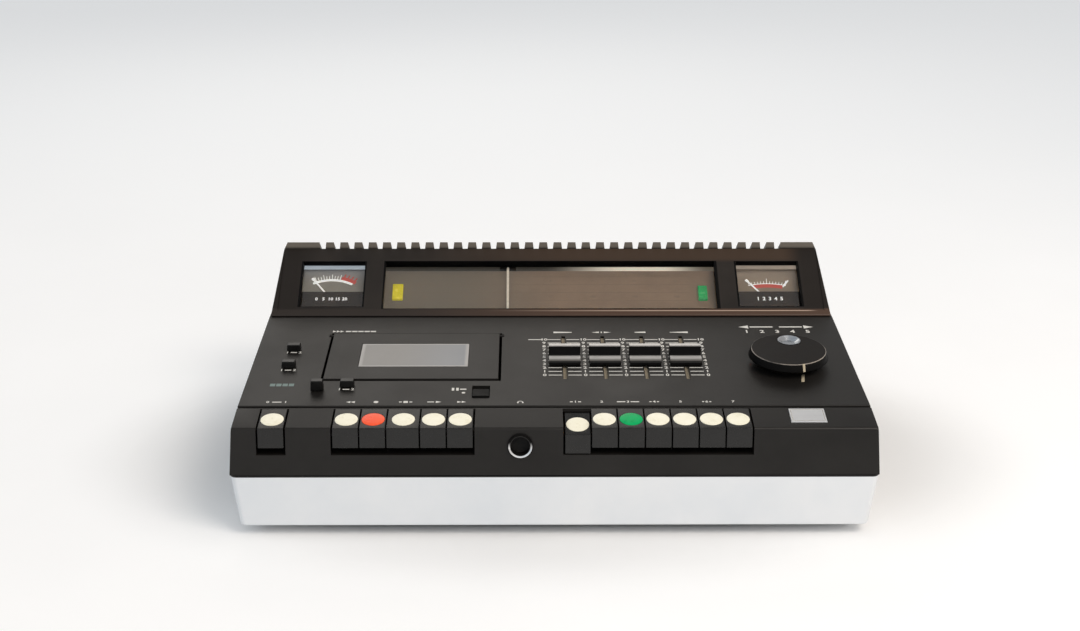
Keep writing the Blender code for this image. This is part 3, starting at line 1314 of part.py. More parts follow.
def make_tuning():
    """The tuning knob with its finger dish, and the shaft with the drum that winds the dial cord."""
    low = KNOB_CLEAR
    profile = [
        (0, low + KNOB_HEIGHT - KNOB_WALL * 2),
        (KNOB_HUB_RADIUS, low + KNOB_HEIGHT - KNOB_WALL * 2),
        (KNOB_HUB_RADIUS, low + KNOB_WALL),
        (KNOB_HUB_RADIUS + KNOB_WALL, low + KNOB_WALL),
        (KNOB_HUB_RADIUS + KNOB_WALL, low + KNOB_HEIGHT - KNOB_WALL * 2),
        (KNOB_BASE_RADIUS - KNOB_WALL, low + KNOB_HEIGHT - KNOB_WALL * 2),
        (KNOB_BASE_RADIUS - KNOB_WALL, low),
        (KNOB_BASE_RADIUS, low),
        (KNOB_BASE_RADIUS, KNOB_RIM_LOW),
        (KNOB_RADIUS - KNOB_CHAMFER, KNOB_RIM_LOW),
        (KNOB_RADIUS, KNOB_RIM_LOW + KNOB_CHAMFER),
        (KNOB_TOP_RADIUS + KNOB_CHAMFER / 2, low + KNOB_HEIGHT - KNOB_CHAMFER),
        (KNOB_TOP_RADIUS, low + KNOB_HEIGHT),
        (0, low + KNOB_HEIGHT),
    ]
    knob = turned("tuning_knob", profile, BIG_ROUND_STEPS, BLACK_PLASTIC)
    top_n = low + KNOB_HEIGHT
    dish = turned(
        "dish_bed",
        [
            (0, -DIMPLE_DEPTH),
            (DIMPLE_RADIUS * 0.6, -DIMPLE_DEPTH),
            (DIMPLE_RADIUS, 0),
            (DIMPLE_RADIUS, OVERRUN),
            (0, OVERRUN),
        ],
        ROUND_STEPS,
    )
    turn = math.radians(DIMPLE_TURN_DEG)
    dish_x = KNOB_X + DIMPLE_OFFSET * math.sin(turn)
    dish_s = KNOB_S + DIMPLE_OFFSET * math.cos(turn)
    cut(knob, PANEL.put(dish, dish_x, dish_s, top_n))
    smooth(PANEL.put(knob, KNOB_X, KNOB_S))
    sheet = DIMPLE_SHEET
    insert = turned(
        "knob_dish",
        [
            (0, GAP - DIMPLE_DEPTH),
            (DIMPLE_RADIUS * 0.6 - GAP, GAP - DIMPLE_DEPTH),
            (DIMPLE_RADIUS - GAP * 2, -GAP),
            (DIMPLE_RADIUS - GAP * 2, GAP),
            (DIMPLE_RADIUS - DIMPLE_LIP - GAP, GAP),
            (DIMPLE_RADIUS * 0.6 - GAP - sheet, GAP + sheet - DIMPLE_DEPTH),
            (0, GAP + sheet / 2 - DIMPLE_DEPTH + sheet / 2),
        ],
        ROUND_STEPS,
        "bright_metal",
    )
    smooth(PANEL.put(insert, dish_x, dish_s, top_n))
    drum_high = -DRUM_BELOW
    drum_low = drum_high - DRUM_THICK
    shaft = turned(
        "tuning_shaft",
        [
            (0, -SHAFT_BELOW),
            (SHAFT_RADIUS, -SHAFT_BELOW),
            (SHAFT_RADIUS, drum_low),
            (DRUM_RADIUS, drum_low),
            (DRUM_RADIUS - DRUM_GROOVE, (drum_low + drum_high) / 2),
            (DRUM_RADIUS, drum_high),
            (SHAFT_RADIUS, drum_high),
            (SHAFT_RADIUS, low + KNOB_HEIGHT - KNOB_WALL * 2 - GAP),
            (0, low + KNOB_HEIGHT - KNOB_WALL * 2 - GAP),
        ],
        ROUND_STEPS,
        "steel",
    )
    smooth(PANEL.put(shaft, KNOB_X, KNOB_S))


def make_switches():
    """Four slide switches, each a ridged cap on a stem through its slot, and the pause slide."""
    for name, (x, s) in SWITCH_PLACES.items():
        eject = name == "eject_slide"
        height = EJECT_HEIGHT if eject else SWITCH_HEIGHT
        width = EJECT_WIDTH if eject else SWITCH_WIDTH
        cap = block(name, width, SWITCH_LENGTH, height, "key_plastic", SWITCH_RIDGE)
        soften(cap, SMALL_EDGE, 1)
        stem = block(
            f"{name}_stem", SWITCH_STEM_WIDTH, SWITCH_STEM_LENGTH, SWITCH_STEM_DEPTH + height / 2
        )
        join(cap, PANEL.put(stem, x, s, SWITCH_CLEAR - SWITCH_STEM_DEPTH))
        PANEL.put(cap, x, s, SWITCH_CLEAR)
    slide = block(
        "pause_slide",
        PAUSE_OPENING_WIDTH - GAP * 2,
        PAUSE_LENGTH,
        PAUSE_DEPTH + PAUSE_PROUD - GAP,
        "key_plastic",
    )
    soften(slide, SMALL_EDGE, 1)
    PANEL.put(slide, PAUSE_X, PAUSE_FRONT_S + GAP + PAUSE_LENGTH / 2, GAP - PAUSE_DEPTH)


def housing_draft(z):
    """How far the side of the dial housing stands in from the case's widest place at height z."""
    return HOUSING_INSET + side_draft(PANEL_END[1]) + HOUSING_DRAFT_SHARE * (z - PANEL_END[1])


def make_dial_housing():
    """The tilted hood over the dial: a shell with a raised rim and three windows."""
    base_z = PANEL_END[1] + GAP
    rear = FACE_END[0] + HOUSING_LIP
    outline = [
        (PANEL_END[0] + GAP, base_z),
        FACE.profile(HOUSING_LIP, HOUSING_LIP),
        FACE.profile(FACE.length, HOUSING_LIP),
        (rear, FACE_END[1] + HOUSING_LIP / 2),
        (rear, base_z),
    ]
    outline = [(FRONT_Y + y, z) for y, z in outline]
    half = CASE_WIDTH / 2
    housing = extrusion("dial_housing", outline, -half, half, BLACK_PLASTIC, housing_draft)
    soften(housing, EDGE_RADIUS, 2, 30)
    inner = [
        FACE.profile(HOUSING_WALL * 3, -HOUSING_WALL * 1.6),
        FACE.profile(FACE.length - HOUSING_WALL * 2, -HOUSING_WALL),
        (rear + OVERRUN, FACE.profile(FACE.length - HOUSING_WALL * 2, -HOUSING_WALL)[1]),
        (rear + OVERRUN, base_z - OVERRUN),
        (FACE.profile(HOUSING_WALL * 3, -HOUSING_WALL)[0], base_z - OVERRUN),
    ]
    inner = [(FRONT_Y + y, z) for y, z in inner]
    inner_half = half - HOUSING_WALL
    cut(housing, extrusion("housing_cavity", inner, -inner_half, inner_half, None, housing_draft))
    step = face_block(
        "face_step",
        -half + housing_draft(PANEL_END[1]) + RIM_WIDTH,
        half - housing_draft(PANEL_END[1]) - RIM_WIDTH,
        RIM_WIDTH + HOUSING_LIP,
        FACE.length + OVERRUN * 2,
        HOUSING_LIP - RIM_STEP,
        HOUSING_LIP + OVERRUN,
    )
    cut(housing, step)
    for name, left, right, low, high in windows():
        cut(housing, face_block(name, left, right, low, high, -HOUSING_WALL * 3, OVERRUN * 2))
    return smooth(housing)


def windows():
    return (
        ("dial_window", -DIAL_HALF_WIDTH, DIAL_HALF_WIDTH, DIAL_FRONT_S, DIAL_REAR_S),
        ("left_meter_window", -METER_OUTER_X, -METER_INNER_X, METER_FRONT_S, METER_REAR_S),
        ("right_meter_window", METER_INNER_X, METER_OUTER_X, METER_FRONT_S, METER_REAR_S),
    )


def face_block(name, left, right, low_s, high_s, low_n, high_n, material_name=None):
    """A box in the plane of the tilted face, given by its limits."""
    made = block(name, right - left, high_s - low_s, high_n - low_n, material_name)
    return FACE.put(made, (left + right) / 2, (low_s + high_s) / 2, low_n)


def make_dial():
    """The glass over all three windows, the scale plate, and the pointer on its carriage."""
    glass_high = -GLASS_DEPTH
    glass_low = glass_high - GLASS_THICK
    face_block(
        "dial_glass",
        -METER_OUTER_X - GLASS_MARGIN,
        METER_OUTER_X + GLASS_MARGIN,
        DIAL_FRONT_S - GLASS_MARGIN / 2,
        DIAL_REAR_S + GLASS_MARGIN,
        glass_low,
        glass_high,
        "clear_pane",
    )
    pointer_high = glass_low - POINTER_GAP / 2
    pointer_low = pointer_high - POINTER_THICK
    scale_high = pointer_low - SCALE_GAP
    scale = face_block(
        "dial_scale",
        -DIAL_HALF_WIDTH - GLASS_MARGIN,
        DIAL_HALF_WIDTH + GLASS_MARGIN,
        DIAL_FRONT_S - GLASS_MARGIN / 2,
        DIAL_REAR_S - CARRIAGE_LENGTH / 2,
        scale_high - SCALE_THICK,
        scale_high,
        "scale_plate",
    )
    for side, outer in (("left", -DIAL_HALF_WIDTH - GLASS_MARGIN), ("right", DIAL_HALF_WIDTH)):
        end_wall = face_block(
            f"{side}_scale_end",
            outer,
            outer + GLASS_MARGIN,
            DIAL_FRONT_S,
            DIAL_REAR_S - CARRIAGE_LENGTH,
            scale_high - SCALE_THICK / 2,
            glass_low - GAP,
        )
        join(scale, end_wall)
    pointer = face_block(
        "dial_pointer",
        POINTER_X - POINTER_WIDTH / 2,
        POINTER_X + POINTER_WIDTH / 2,
        DIAL_FRONT_S + GAP,
        DIAL_REAR_S + GLASS_MARGIN,
        pointer_low,
        pointer_high,
        "needle",
    )
    carriage = face_block(
        "carriage",
        POINTER_X - CARRIAGE_WIDTH / 2,
        POINTER_X + CARRIAGE_WIDTH / 2,
        DIAL_REAR_S - CARRIAGE_LENGTH / 2 + GAP,
        DIAL_REAR_S + CARRIAGE_LENGTH / 2,
        scale_high - SCALE_THICK,
        pointer_low + POINTER_THICK / 2,
    )
    join(pointer, carriage)


def make_meters():
    """Two moving-coil meters: a cup with a recessed face, a lower cover, and a needle."""
    glass_low = -GLASS_DEPTH - GLASS_THICK
    top = glass_low - METER_GAP
    for side, left in (("left", -METER_OUTER_X), ("right", METER_INNER_X)):
        right = left + METER_OUTER_X - METER_INNER_X
        cup = face_block(
            f"{side}_meter",
            left - GLASS_MARGIN,
            right + GLASS_MARGIN,
            METER_FRONT_S - GLASS_MARGIN,
            METER_REAR_S + GLASS_MARGIN / 2,
            top - METER_DEPTH,
            top,
            "meter_face",
        )
        dial_bed = face_block(
            f"{side}_meter_bed",
            left - GLASS_MARGIN + METER_WALL,
            right + GLASS_MARGIN - METER_WALL,
            METER_FRONT_S,
            METER_REAR_S - METER_WALL,
            top - METER_FACE_DROP,
            top + OVERRUN,
        )
        cut(cup, dial_bed)
        middle = (left + right) / 2
        needle_low = top - METER_FACE_DROP + NEEDLE_ABOVE
        pivot = FACE.point(middle, NEEDLE_PIVOT_S, needle_low)
        needle = turned(
            f"{side}_needle",
            [
                (0, -NEEDLE_ABOVE + GAP),
                (NEEDLE_HUB_RADIUS, -NEEDLE_ABOVE + GAP),
                (NEEDLE_HUB_RADIUS, NEEDLE_HUB_HEIGHT),
                (0, NEEDLE_HUB_HEIGHT),
            ],
            TINY_ROUND_STEPS,
            "needle",
        )
        blade = block(f"{side}_blade", NEEDLE_WIDTH, NEEDLE_LENGTH, NEEDLE_THICK)
        blade.data.transform(Matrix.Translation((0, NEEDLE_LENGTH / 2, NEEDLE_HUB_HEIGHT / 4)))
        blade.data.transform(Matrix.Rotation(math.radians(NEEDLE_REST_DEG), 4, "Z"))
        blade.location = pivot
        blade.rotation_euler = (FACE.angle, 0, 0)
        join(needle, blade)
        needle.location = pivot
        needle.rotation_euler = (FACE.angle, 0, 0)


def make_rear_cover():
    """The ribbed cover behind the dial: a notched section swept over the top and down the back."""
    start = (FACE_END[0] + HOUSING_LIP + GRILLE_GAP, FACE_END[1] + HOUSING_LIP / 2)
    slope = math.radians(GRILLE_SLOPE_DEG)
    rear = CASE_DEPTH - HOUSING_INSET - RIB_HEIGHT
    knee_y = rear - GRILLE_BEND_RADIUS * (1 - math.sin(slope))
    knee_z = start[1] - (knee_y - start[0]) * math.tan(slope)
    foot_z = PANEL_END[1] + GAP
    path = [start]
    for i in range(4):
        turn = slope + (math.pi / 2 - slope) * i / 3
        out_y = GRILLE_BEND_RADIUS * (math.sin(turn) - math.sin(slope))
        down = GRILLE_BEND_RADIUS * (math.cos(slope) - math.cos(turn))
        path.append((knee_y + out_y, knee_z - down))
    path.append((path[-1][0], foot_z))
    section = rib_section()
    rings = []
    for i, (y, z) in enumerate(path):
        before, after = path[max(i - 1, 0)], path[min(i + 1, len(path) - 1)]
        along = Vector((after[0] - before[0], after[1] - before[1])).normalized()
        out = Vector((-along.y, along.x))
        if i == 0:
            out = Vector((0.0, 1.0))
        if i == len(path) - 1:
            out = Vector((1.0, 0.0))
        taper = HOUSING_DRAFT_SHARE * max(0.0, z - PANEL_END[1])
        ring = []
        for x, height in section:
            edge = abs(x) > RIB_COUNT * RIB_PITCH / 2 + END_BLOCK_WIDTH / 2
            x_now = x - math.copysign(taper, x) if edge else x
            ring.append((x_now, FRONT_Y + y + out.x * height, z + out.y * height))
        rings.append(ring)
    cover = loft("rear_cover", rings, BLACK_PLASTIC)
    inner = [(y - shift, z - GRILLE_WALL / 2) for (y, z), shift in zip(path, end_shifts(path))]
    inner[0] = (path[0][0] + GAP, path[0][1] - GRILLE_WALL / 2)
    inner[-1] = (inner[-1][0], foot_z + GAP)
    inner.append((path[0][0] + GAP, foot_z + GAP))
    outline = [(FRONT_Y + y, z) for y, z in inner]
    half = CASE_WIDTH / 2 - SMALL_EDGE
    for side, left, right in (("left", -half, GRILLE_WALL - half), ("right", half - GRILLE_WALL, half)):
        join(cover, extrusion(f"{side}_end", outline, left, right, None, housing_draft))
    return cover


def end_shifts(path):
    """How far each point of an end wall's outline stands forward of the cover's own path."""
    last = len(path) - 1
    return [GRILLE_WALL / 2 * i / last for i in range(last + 1)]


def rib_section():
    """The cover's section across the deck: (x, height above the sheet), round to the inner face."""
    edge = CASE_WIDTH / 2 - housing_draft(PANEL_END[1])
    points = [(-edge, 0.0), (-edge + RIB_HEIGHT / 2, RIB_HEIGHT)]
    first = -(RIB_COUNT - 1) * RIB_PITCH / 2
    for i in range(RIB_COUNT):
        middle = first + i * RIB_PITCH
        left_end, right_end = i == 0, i == RIB_COUNT - 1
        if not left_end:
            points += [(middle - RIB_BASE_WIDTH / 2, 0.0), (middle - RIB_TOP_WIDTH / 2, RIB_HEIGHT)]
        if not right_end:
            points += [(middle + RIB_TOP_WIDTH / 2, RIB_HEIGHT), (middle + RIB_BASE_WIDTH / 2, 0.0)]
    points += [(edge - RIB_HEIGHT / 2, RIB_HEIGHT), (edge, 0.0)]
    points += [(edge, -GRILLE_WALL), (-edge, -GRILLE_WALL)]
    return points


def main():
    clear_scene()
    make_base_tray()
    make_bottom_cover()
    make_feet()
    make_front_bezel()
    make_keys()
    make_phone_socket()
    make_plate()
    make_deck_panel()
    make_cassette_lid()
    make_cassette_well()
    make_spindles()
    make_head_bridge()
    make_capstan_drive()
    make_inside()
    make_sliders()
    make_tuning()
    make_switches()
    make_dial_housing()
    make_dial()
    make_meters()
    make_rear_cover()


main()
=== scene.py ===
"""Looks of a table-top radio cassette deck: finishes, printed marks and small fittings.

Frame: metres, +Z up, X across the deck, the keys at the -Y side. The origin is under the middle of
the deck, on the surface that it stands on. Every measure below is in millimetres until a piece is
made, and depths are first written from the front face.
"""

import math

import bpy
from mathutils import Matrix, Vector


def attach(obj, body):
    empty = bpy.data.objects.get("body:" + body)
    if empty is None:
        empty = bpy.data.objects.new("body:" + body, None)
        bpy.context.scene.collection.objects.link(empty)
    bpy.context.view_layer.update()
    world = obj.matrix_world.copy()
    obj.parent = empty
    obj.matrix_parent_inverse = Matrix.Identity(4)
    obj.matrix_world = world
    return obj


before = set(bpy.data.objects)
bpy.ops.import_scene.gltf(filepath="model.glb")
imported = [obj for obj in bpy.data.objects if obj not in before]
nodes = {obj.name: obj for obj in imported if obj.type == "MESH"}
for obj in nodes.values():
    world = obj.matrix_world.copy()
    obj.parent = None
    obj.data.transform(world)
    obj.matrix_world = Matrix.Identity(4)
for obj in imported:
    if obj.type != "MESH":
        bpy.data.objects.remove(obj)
bpy.context.view_layer.update()

MM = 0.001
HALF_DEPTH = 155.0

# Places that both finishes and pieces use. X runs across, and S up a slope from its front edge.
KNOB_X = 185.6
KNOB_S = 74.5
KNOB_REAR_Y = -15.0  # the knob's rear edge, in the frame
DISH_X = 188.3
DISH_S = 91.0
PHONE_X = -25.7
PHONE_Z = 73.0
WINDOW_X = -110.15
WINDOW_S = 89.75
WINDOW_WIDTH = 86.3
WINDOW_LENGTH = 43.3

# Corners of the deck seen from its side, as depth from the front face and height
FRONT_FOOT = (0.0, 50.0)
SHELF_FRONT = (4.7, 86.0)
PANEL_FRONT = (36.5, 90.7)
FACE_FRONT = (204.5, 100.3)
FACE_REAR = (269.9, 138.5)


# The sloping surfaces of the deck


class Slope:
    """A flat outer surface: x across, s up the slope from its front edge, n out of it."""

    def __init__(self, front, rear):
        self.front = front
        self.angle = math.atan2(rear[1] - front[1], rear[0] - front[0])

    def place(self, x=0.0, s=0.0, n=0.0, turn=0.0):
        """Carries a shape built about zero, with +Z out of the surface, to its place."""
        y = self.front[0] + s * math.cos(self.angle) - n * math.sin(self.angle)
        z = self.front[1] + s * math.sin(self.angle) + n * math.cos(self.angle)
        there = Matrix.Translation((x, y - HALF_DEPTH, z))
        return there @ Matrix.Rotation(self.angle, 4, "X") @ Matrix.Rotation(turn, 4, "Z")


FRONT = Slope(FRONT_FOOT, SHELF_FRONT)
SHELF = Slope(SHELF_FRONT, PANEL_FRONT)
PANEL = Slope(PANEL_FRONT, FACE_FRONT)
FACE = Slope(FACE_FRONT, FACE_REAR)


# Colours and shader nodes

CLOUD_LOW = 0.32  # most of a noise lies between these two values
CLOUD_HIGH = 0.68
WAVE_SPACING = math.tau / 20  # between two rings of a wave texture whose scale is one


def srgb(text):
    """An sRGB hex colour as linear red, green, blue and an alpha of one."""
    channels = [int(text[i : i + 2], 16) / 255 for i in (1, 3, 5)]
    linear = [c / 12.92 if c <= 0.04045 else ((c + 0.055) / 1.055) ** 2.4 for c in channels]
    return (*linear, 1.0)


def add_node(tree, kind, settings=None, links=None):
    """Adds a node. A lower-case name in settings is a property, and any other key is an input."""
    node = tree.nodes.new(kind)
    for key, value in (settings or {}).items():
        if isinstance(key, str) and key[0].islower():
            setattr(node, key, value)
        else:
            node.inputs[key].default_value = value
    for key, source in (links or {}).items():
        tree.links.new(source, node.inputs[key])
    return node


class Finish:
    """A moulded, painted or plated surface.

    Its colour runs from low to high and its roughness between the two values of rough, in clouds so
    many millimetres apart. Its face is lifted in grain so many millimetres apart and height
    millimetres high. Other sockets of the shader are named with _ for each space.
    """

    def __init__(self, name, low, high, rough, clouds, grain, height, stretch=(1, 1, 1), **sockets):
        self.material = bpy.data.materials.new(name)
        self.material.use_nodes = True
        self.material.diffuse_color = srgb(high)
        self.tree = self.material.node_tree
        self.shader = self.tree.nodes["Principled BSDF"]
        for socket, value in sockets.items():
            self.shader.inputs[socket.replace("_", " ")].default_value = value
        coordinates = add_node(self.tree, "ShaderNodeTexCoord")
        self.place = coordinates.outputs["Object"]
        spread = add_node(self.tree, "ShaderNodeMapping", {"Scale": stretch}, {"Vector": self.place})
        drift = add_node(
            self.tree,
            "ShaderNodeTexNoise",
            {"Scale": 1 / (clouds * MM), "Detail": 4.0, "Roughness": 0.6},
            {"Vector": spread.outputs["Vector"]},
        )
        colour = add_node(self.tree, "ShaderNodeValToRGB", {}, {"Fac": drift.outputs["Fac"]})
        for end, position, text in ((0, CLOUD_LOW, low), (1, CLOUD_HIGH, high)):
            colour.color_ramp.elements[end].position = position
            colour.color_ramp.elements[end].color = srgb(text)
        self.colour = colour.outputs["Color"]
        self.tree.links.new(self.colour, self.shader.inputs["Base Color"])
        gloss = add_node(
            self.tree,
            "ShaderNodeMapRange",
            {"From Min": CLOUD_LOW, "From Max": CLOUD_HIGH, "To Min": rough[0], "To Max": rough[1]},
            {"Value": drift.outputs["Fac"]},
        )
        self.tree.links.new(gloss.outputs["Result"], self.shader.inputs["Roughness"])
        fine = add_node(
            self.tree,
            "ShaderNodeTexNoise",
            {"Scale": 1 / (grain * MM), "Detail": 2.0, "Roughness": 0.6},
            {"Vector": spread.outputs["Vector"]},
        )
        relief = add_node(
            self.tree, "ShaderNodeBump", {"Distance": height * MM}, {"Height": fine.outputs["Fac"]}
        )
        self.normal = relief.outputs["Normal"]
        self.tree.links.new(self.normal, self.shader.inputs["Normal"])

    def fade(self, factor, text):
        """Runs the colour to another one where factor is one."""
        blended = add_node(
            self.tree,
            "ShaderNodeMix",
            {"data_type": "RGBA", "clamp_factor": True, 7: srgb(text)},
            {0: factor, 6: self.colour},
        )
        self.colour = blended.outputs[2]
        self.tree.links.new(self.colour, self.shader.inputs["Base Color"])

    def on(self, slope):
        """Places measured on a slope: X across, Y up it and Z out of it."""
        there = slope.place().translation * MM
        measured = add_node(
            self.tree,
            "ShaderNodeMapping",
            {"vector_type": "TEXTURE", "Location": there, "Rotation": (slope.angle, 0, 0)},
            {"Vector": self.place},
        )
        return measured.outputs["Vector"]

    def along(self, axis, start, end, place=None):
        """A value that runs from nought to one between two places in millimetres on an axis."""
        split = add_node(self.tree, "ShaderNodeSeparateXYZ", {}, {"Vector": place or self.place})
        ramp = add_node(
            self.tree,
            "ShaderNodeMapRange",
            {"interpolation_type": "SMOOTHSTEP", "From Min": start * MM, "From Max": end * MM},
            {"Value": split.outputs[axis]},
        )
        return ramp.outputs["Result"]

    def both(self, first, second):
        """A value that is one where both of two values are one."""
        product = add_node(self.tree, "ShaderNodeMath", {"operation": "MULTIPLY"}, {0: first, 1: second})
        return product.outputs["Value"]

    def light_up(self, strength):
        """Lets the surface glow in its own colour, as if a bulb shone through it: painted light."""
        self.tree.links.new(self.colour, self.shader.inputs["Emission Color"])
        self.shader.inputs["Emission Strength"].default_value = strength

    def turn_rings(self, centre, slope_angle, pitch, height):
        """Adds lathe-cut rings pitch millimetres apart about a centre in metres, on a face that
        tilts by slope_angle."""
        about = add_node(
            self.tree,
            "ShaderNodeMapping",
            {"vector_type": "TEXTURE", "Location": centre, "Rotation": (slope_angle, 0, 0)},
            {"Vector": self.place},
        )
        rings = add_node(
            self.tree,
            "ShaderNodeTexWave",
            {
                "wave_type": "RINGS",
                "rings_direction": "Z",
                "Scale": WAVE_SPACING / (pitch * MM),
                "Distortion": 0.4,
                "Detail": 1.0,
            },
            {"Vector": about.outputs["Vector"]},
        )
        relief = add_node(
            self.tree,
            "ShaderNodeBump",
            {"Distance": height * MM},
            {"Height": rings.outputs["Fac"], "Normal": self.normal},
        )
        self.normal = relief.outputs["Normal"]
        self.tree.links.new(self.normal, self.shader.inputs["Normal"])


# Finishes


def textured_abs():
    """Black ABS from a spark-eroded mould: an even, very fine leather that softens reflections.
    The real pits are about 0.15 mm apart, and are drawn at 0.8 mm so that they show."""
    finish = Finish(
        "textured_abs", "#171513", "#201e1c", rough=(0.38, 0.46),
        clouds=55, grain=0.8, height=0.035, Specular_IOR_Level=0.24
    )
    return finish.material


def smooth_abs():
    """Black ABS from a polished mould, dulled by fingers: a soft sheen with faint wipe marks."""
    finish = Finish(
        "smooth_abs", "#100f0e", "#191817", rough=(0.2, 0.34),
        clouds=12, grain=1.1, height=0.006, stretch=(1, 0.4, 1), Specular_IOR_Level=0.4
    )
    return finish.material


def dull_abs(name, low, high, rough=(0.4, 0.5), gloss=0.14):
    """Plastic moulded dull, for parts that take no shine: a weak broad sheen on a dark colour."""
    finish = Finish(name, low, high, rough, clouds=8, grain=0.8, height=0.01, Specular_IOR_Level=gloss)
    return finish.material


def well_abs():
    """Dark grey ABS in the cassette well, moulded dull. Its lip, which shows in the gap round the lid, is
    painted black as the shade in that gap."""
    finish = Finish(
        "well_abs", "#2b2a28", "#353331", rough=(0.4, 0.5),
        clouds=20, grain=0.8, height=0.02, Specular_IOR_Level=0.3
    )
    # painted shade: the lip is faded to black so that the gap round the lid reads dark
    lip = finish.along("Z", 84, 88)
    finish.fade(lip, "#0b0a0a")
    return finish.material


def rubbed_abs():
    """ABS on the knob's sharp top edge, pale in patches on its front half as a painted highlight, and dark on
    its rear half.
    """
    finish = Finish(
        "rubbed_abs", "#1a1715", "#a89e93", rough=(0.3, 0.4), clouds=16, grain=0.8, height=0.01
    )
    # the rear half is faded dark, so that the painted highlight stays on the front half
    rear_half = finish.along("Y", KNOB_REAR_Y - 34, KNOB_REAR_Y - 16)
    finish.fade(rear_half, "#1a1715")
    return finish.material


def ribbed_abs():
    """The same textured ABS on the rear cover. The tops of its ribs are painted pale, as the light that falls
    on them.
    """
    finish = Finish(
        "ribbed_abs", "#171513", "#201e1c", rough=(0.4, 0.5),
        clouds=55, grain=0.8, height=0.035, Specular_IOR_Level=0.24
    )
    # painted light: the rib tops are faded pale where light falls on them
    lit_rib_tops = finish.along("Z", 138.6, 141.6)
    finish.fade(lit_rib_tops, "#726b62")
    return finish.material


def polished_abs():
    """Glossy ABS buffed to a mirror on the crests of the slider caps, coloured pale grey as a painted
    reflection of a bright wall.
    """
    finish = Finish(
        "polished_abs", "#95928f", "#a3a09d", rough=(0.1, 0.16), clouds=9, grain=1.4, height=0.003,
        Specular_IOR_Level=0.5, Coat_Weight=0.8, Coat_Roughness=0.07
    )
    return finish.material


def hood_abs():
    """Brown-black ABS on the dial hood, moulded satin. Painted light makes the margins above and below the
    windows browner from its middle to its right end, and the raised rim paler. A painted highlight runs along
    the rim's inner edge. Both ends are darker, as painted shade."""
    finish = Finish(
        "satin_brown_abs", "#1d1814", "#26201b", rough=(0.34, 0.46),
        clouds=40, grain=0.8, height=0.02, Specular_IOR_Level=0.3
    )
    face = finish.on(FACE)
    # painted light: the hood's right part is lit browner
    lit_side = finish.along("X", -150, 40)
    rear_margin = finish.along("Y", 60, 66, face)
    finish.fade(finish.both(rear_margin, lit_side), "#3d2e22")
    # painted light: the margin below the windows and the raised rim are paler
    low_margin = finish.along("Y", 9.4, 7.6, face)
    finish.fade(low_margin, "#2b241f")
    finish.fade(finish.both(low_margin, lit_side), "#4d392d")
    # painted highlight along the rim's inner edge
    rim_edge = finish.both(finish.along("Y", 5.0, 5.7, face), finish.along("Z", 0.8, 1.0, face))
    highlight_length = finish.both(finish.along("X", -70, 90), finish.along("X", 226, 215))
    finish.fade(finish.both(finish.both(rim_edge, low_margin), highlight_length), "#b39c8b")
    above_rim = finish.along("Y", 7.0, 9.6, face)
    # painted shade at both ends
    for side in (-1, 1):
        end = finish.along("X", side * 200, side * 220)
        finish.fade(finish.both(end, above_rim), "#1a130d")
    return finish.material


def turned_abs():
    """Black ABS with a lathe-cut face, for the knob. The real cuts are 0.3 mm apart, and are drawn as
    soft rings 5.7 mm apart so that they show."""
    finish = Finish(
        "turned_abs", "#120f0d", "#1a1613", rough=(0.34, 0.42),
        clouds=16, grain=0.8, height=0.008, Specular_IOR_Level=0.08
    )
    centre = PANEL.place(KNOB_X, KNOB_S).translation * MM
    finish.turn_rings(centre, PANEL.angle, pitch=5.655, height=0.008)
    return finish.material


def silver_lacquer():
    """Silver lacquer sprayed on moulded polystyrene: a pale satin with soft flake sparkle, with a black band
    painted along its top edge as the shade of the seam where the shell sits on it. The flakes are about 0.05
    mm, drawn at 0.6 mm."""
    finish = Finish(
        "silver_lacquer", "#e2e6ea", "#ebedef", rough=(0.36, 0.48),
        clouds=80, grain=0.6, height=0.012, Metallic=0.1, Specular_IOR_Level=0.5
    )
    # painted shade: a black band in the seam under the shell
    seam_shade = finish.along("Z", 48.8, 49.1)
    finish.fade(seam_shade, "#0b0a0a")
    return finish.material


def coated_steel():
    """Sheet steel with baked grey paint: a slight orange peel about 1.5 mm across."""
    finish = Finish(
        "coated_steel", "#85888c", "#93969a", rough=(0.45, 0.55), clouds=30, grain=1.5, height=0.03
    )
    return finish.material


def moulded_rubber(name, low, high, grain):
    """Vulcanised black rubber: matt, with a dusty bloom in its pores."""
    rough = (0.75, 0.9)
    return Finish(name, low, high, rough, clouds=6, grain=grain, height=0.03, Specular_IOR_Level=0.3).material


def metal(name, low, high, rough, grain, height=0.004, stretch=(1, 1, 1)):
    """A bare or plated metal with fine wear. grain is the spacing of its marks in millimetres."""
    clouds = grain * 8
    return Finish(name, low, high, rough, clouds, grain, height, stretch, Metallic=1.0)


def spun_aluminium():
    """Spun and lightly polished aluminium, for the dish in the knob: rings that fan the light. The
    real rings are 0.2 mm apart, and are drawn 5 mm apart so that they show."""
    finish = metal("spun_aluminium", "#afb3b8", "#c6cacf", rough=(0.2, 0.3), grain=1.4)
    centre = PANEL.place(DISH_X, DISH_S).translation * MM
    finish.turn_rings(centre, PANEL.angle, pitch=5.027, height=0.01)
    return finish.material


def plug_worn_plate():
    """Chromed brass on the headphone socket's ring nut. Its lower half is bright, and its upper half is
    painted near black as shade."""
    finish = metal("half_shaded_chrome", "#dcdcdc", "#e8e8e8", rough=(0.08, 0.14), grain=3.0)
    # painted shade: the upper half is faded to near black
    upper_half_shade = finish.along("Z", PHONE_Z - 3.0, PHONE_Z + 3.5)
    finish.fade(upper_half_shade, "#171615")
    return finish.material


def moulded_styrene(name, low, high, gloss=0.35):
    """Glossy coloured polystyrene, as in key inserts: bright, with slight yellowing in patches."""
    rough = (0.24, 0.36)
    return Finish(name, low, high, rough, clouds=7, grain=2.5, height=0.01, Specular_IOR_Level=gloss).material


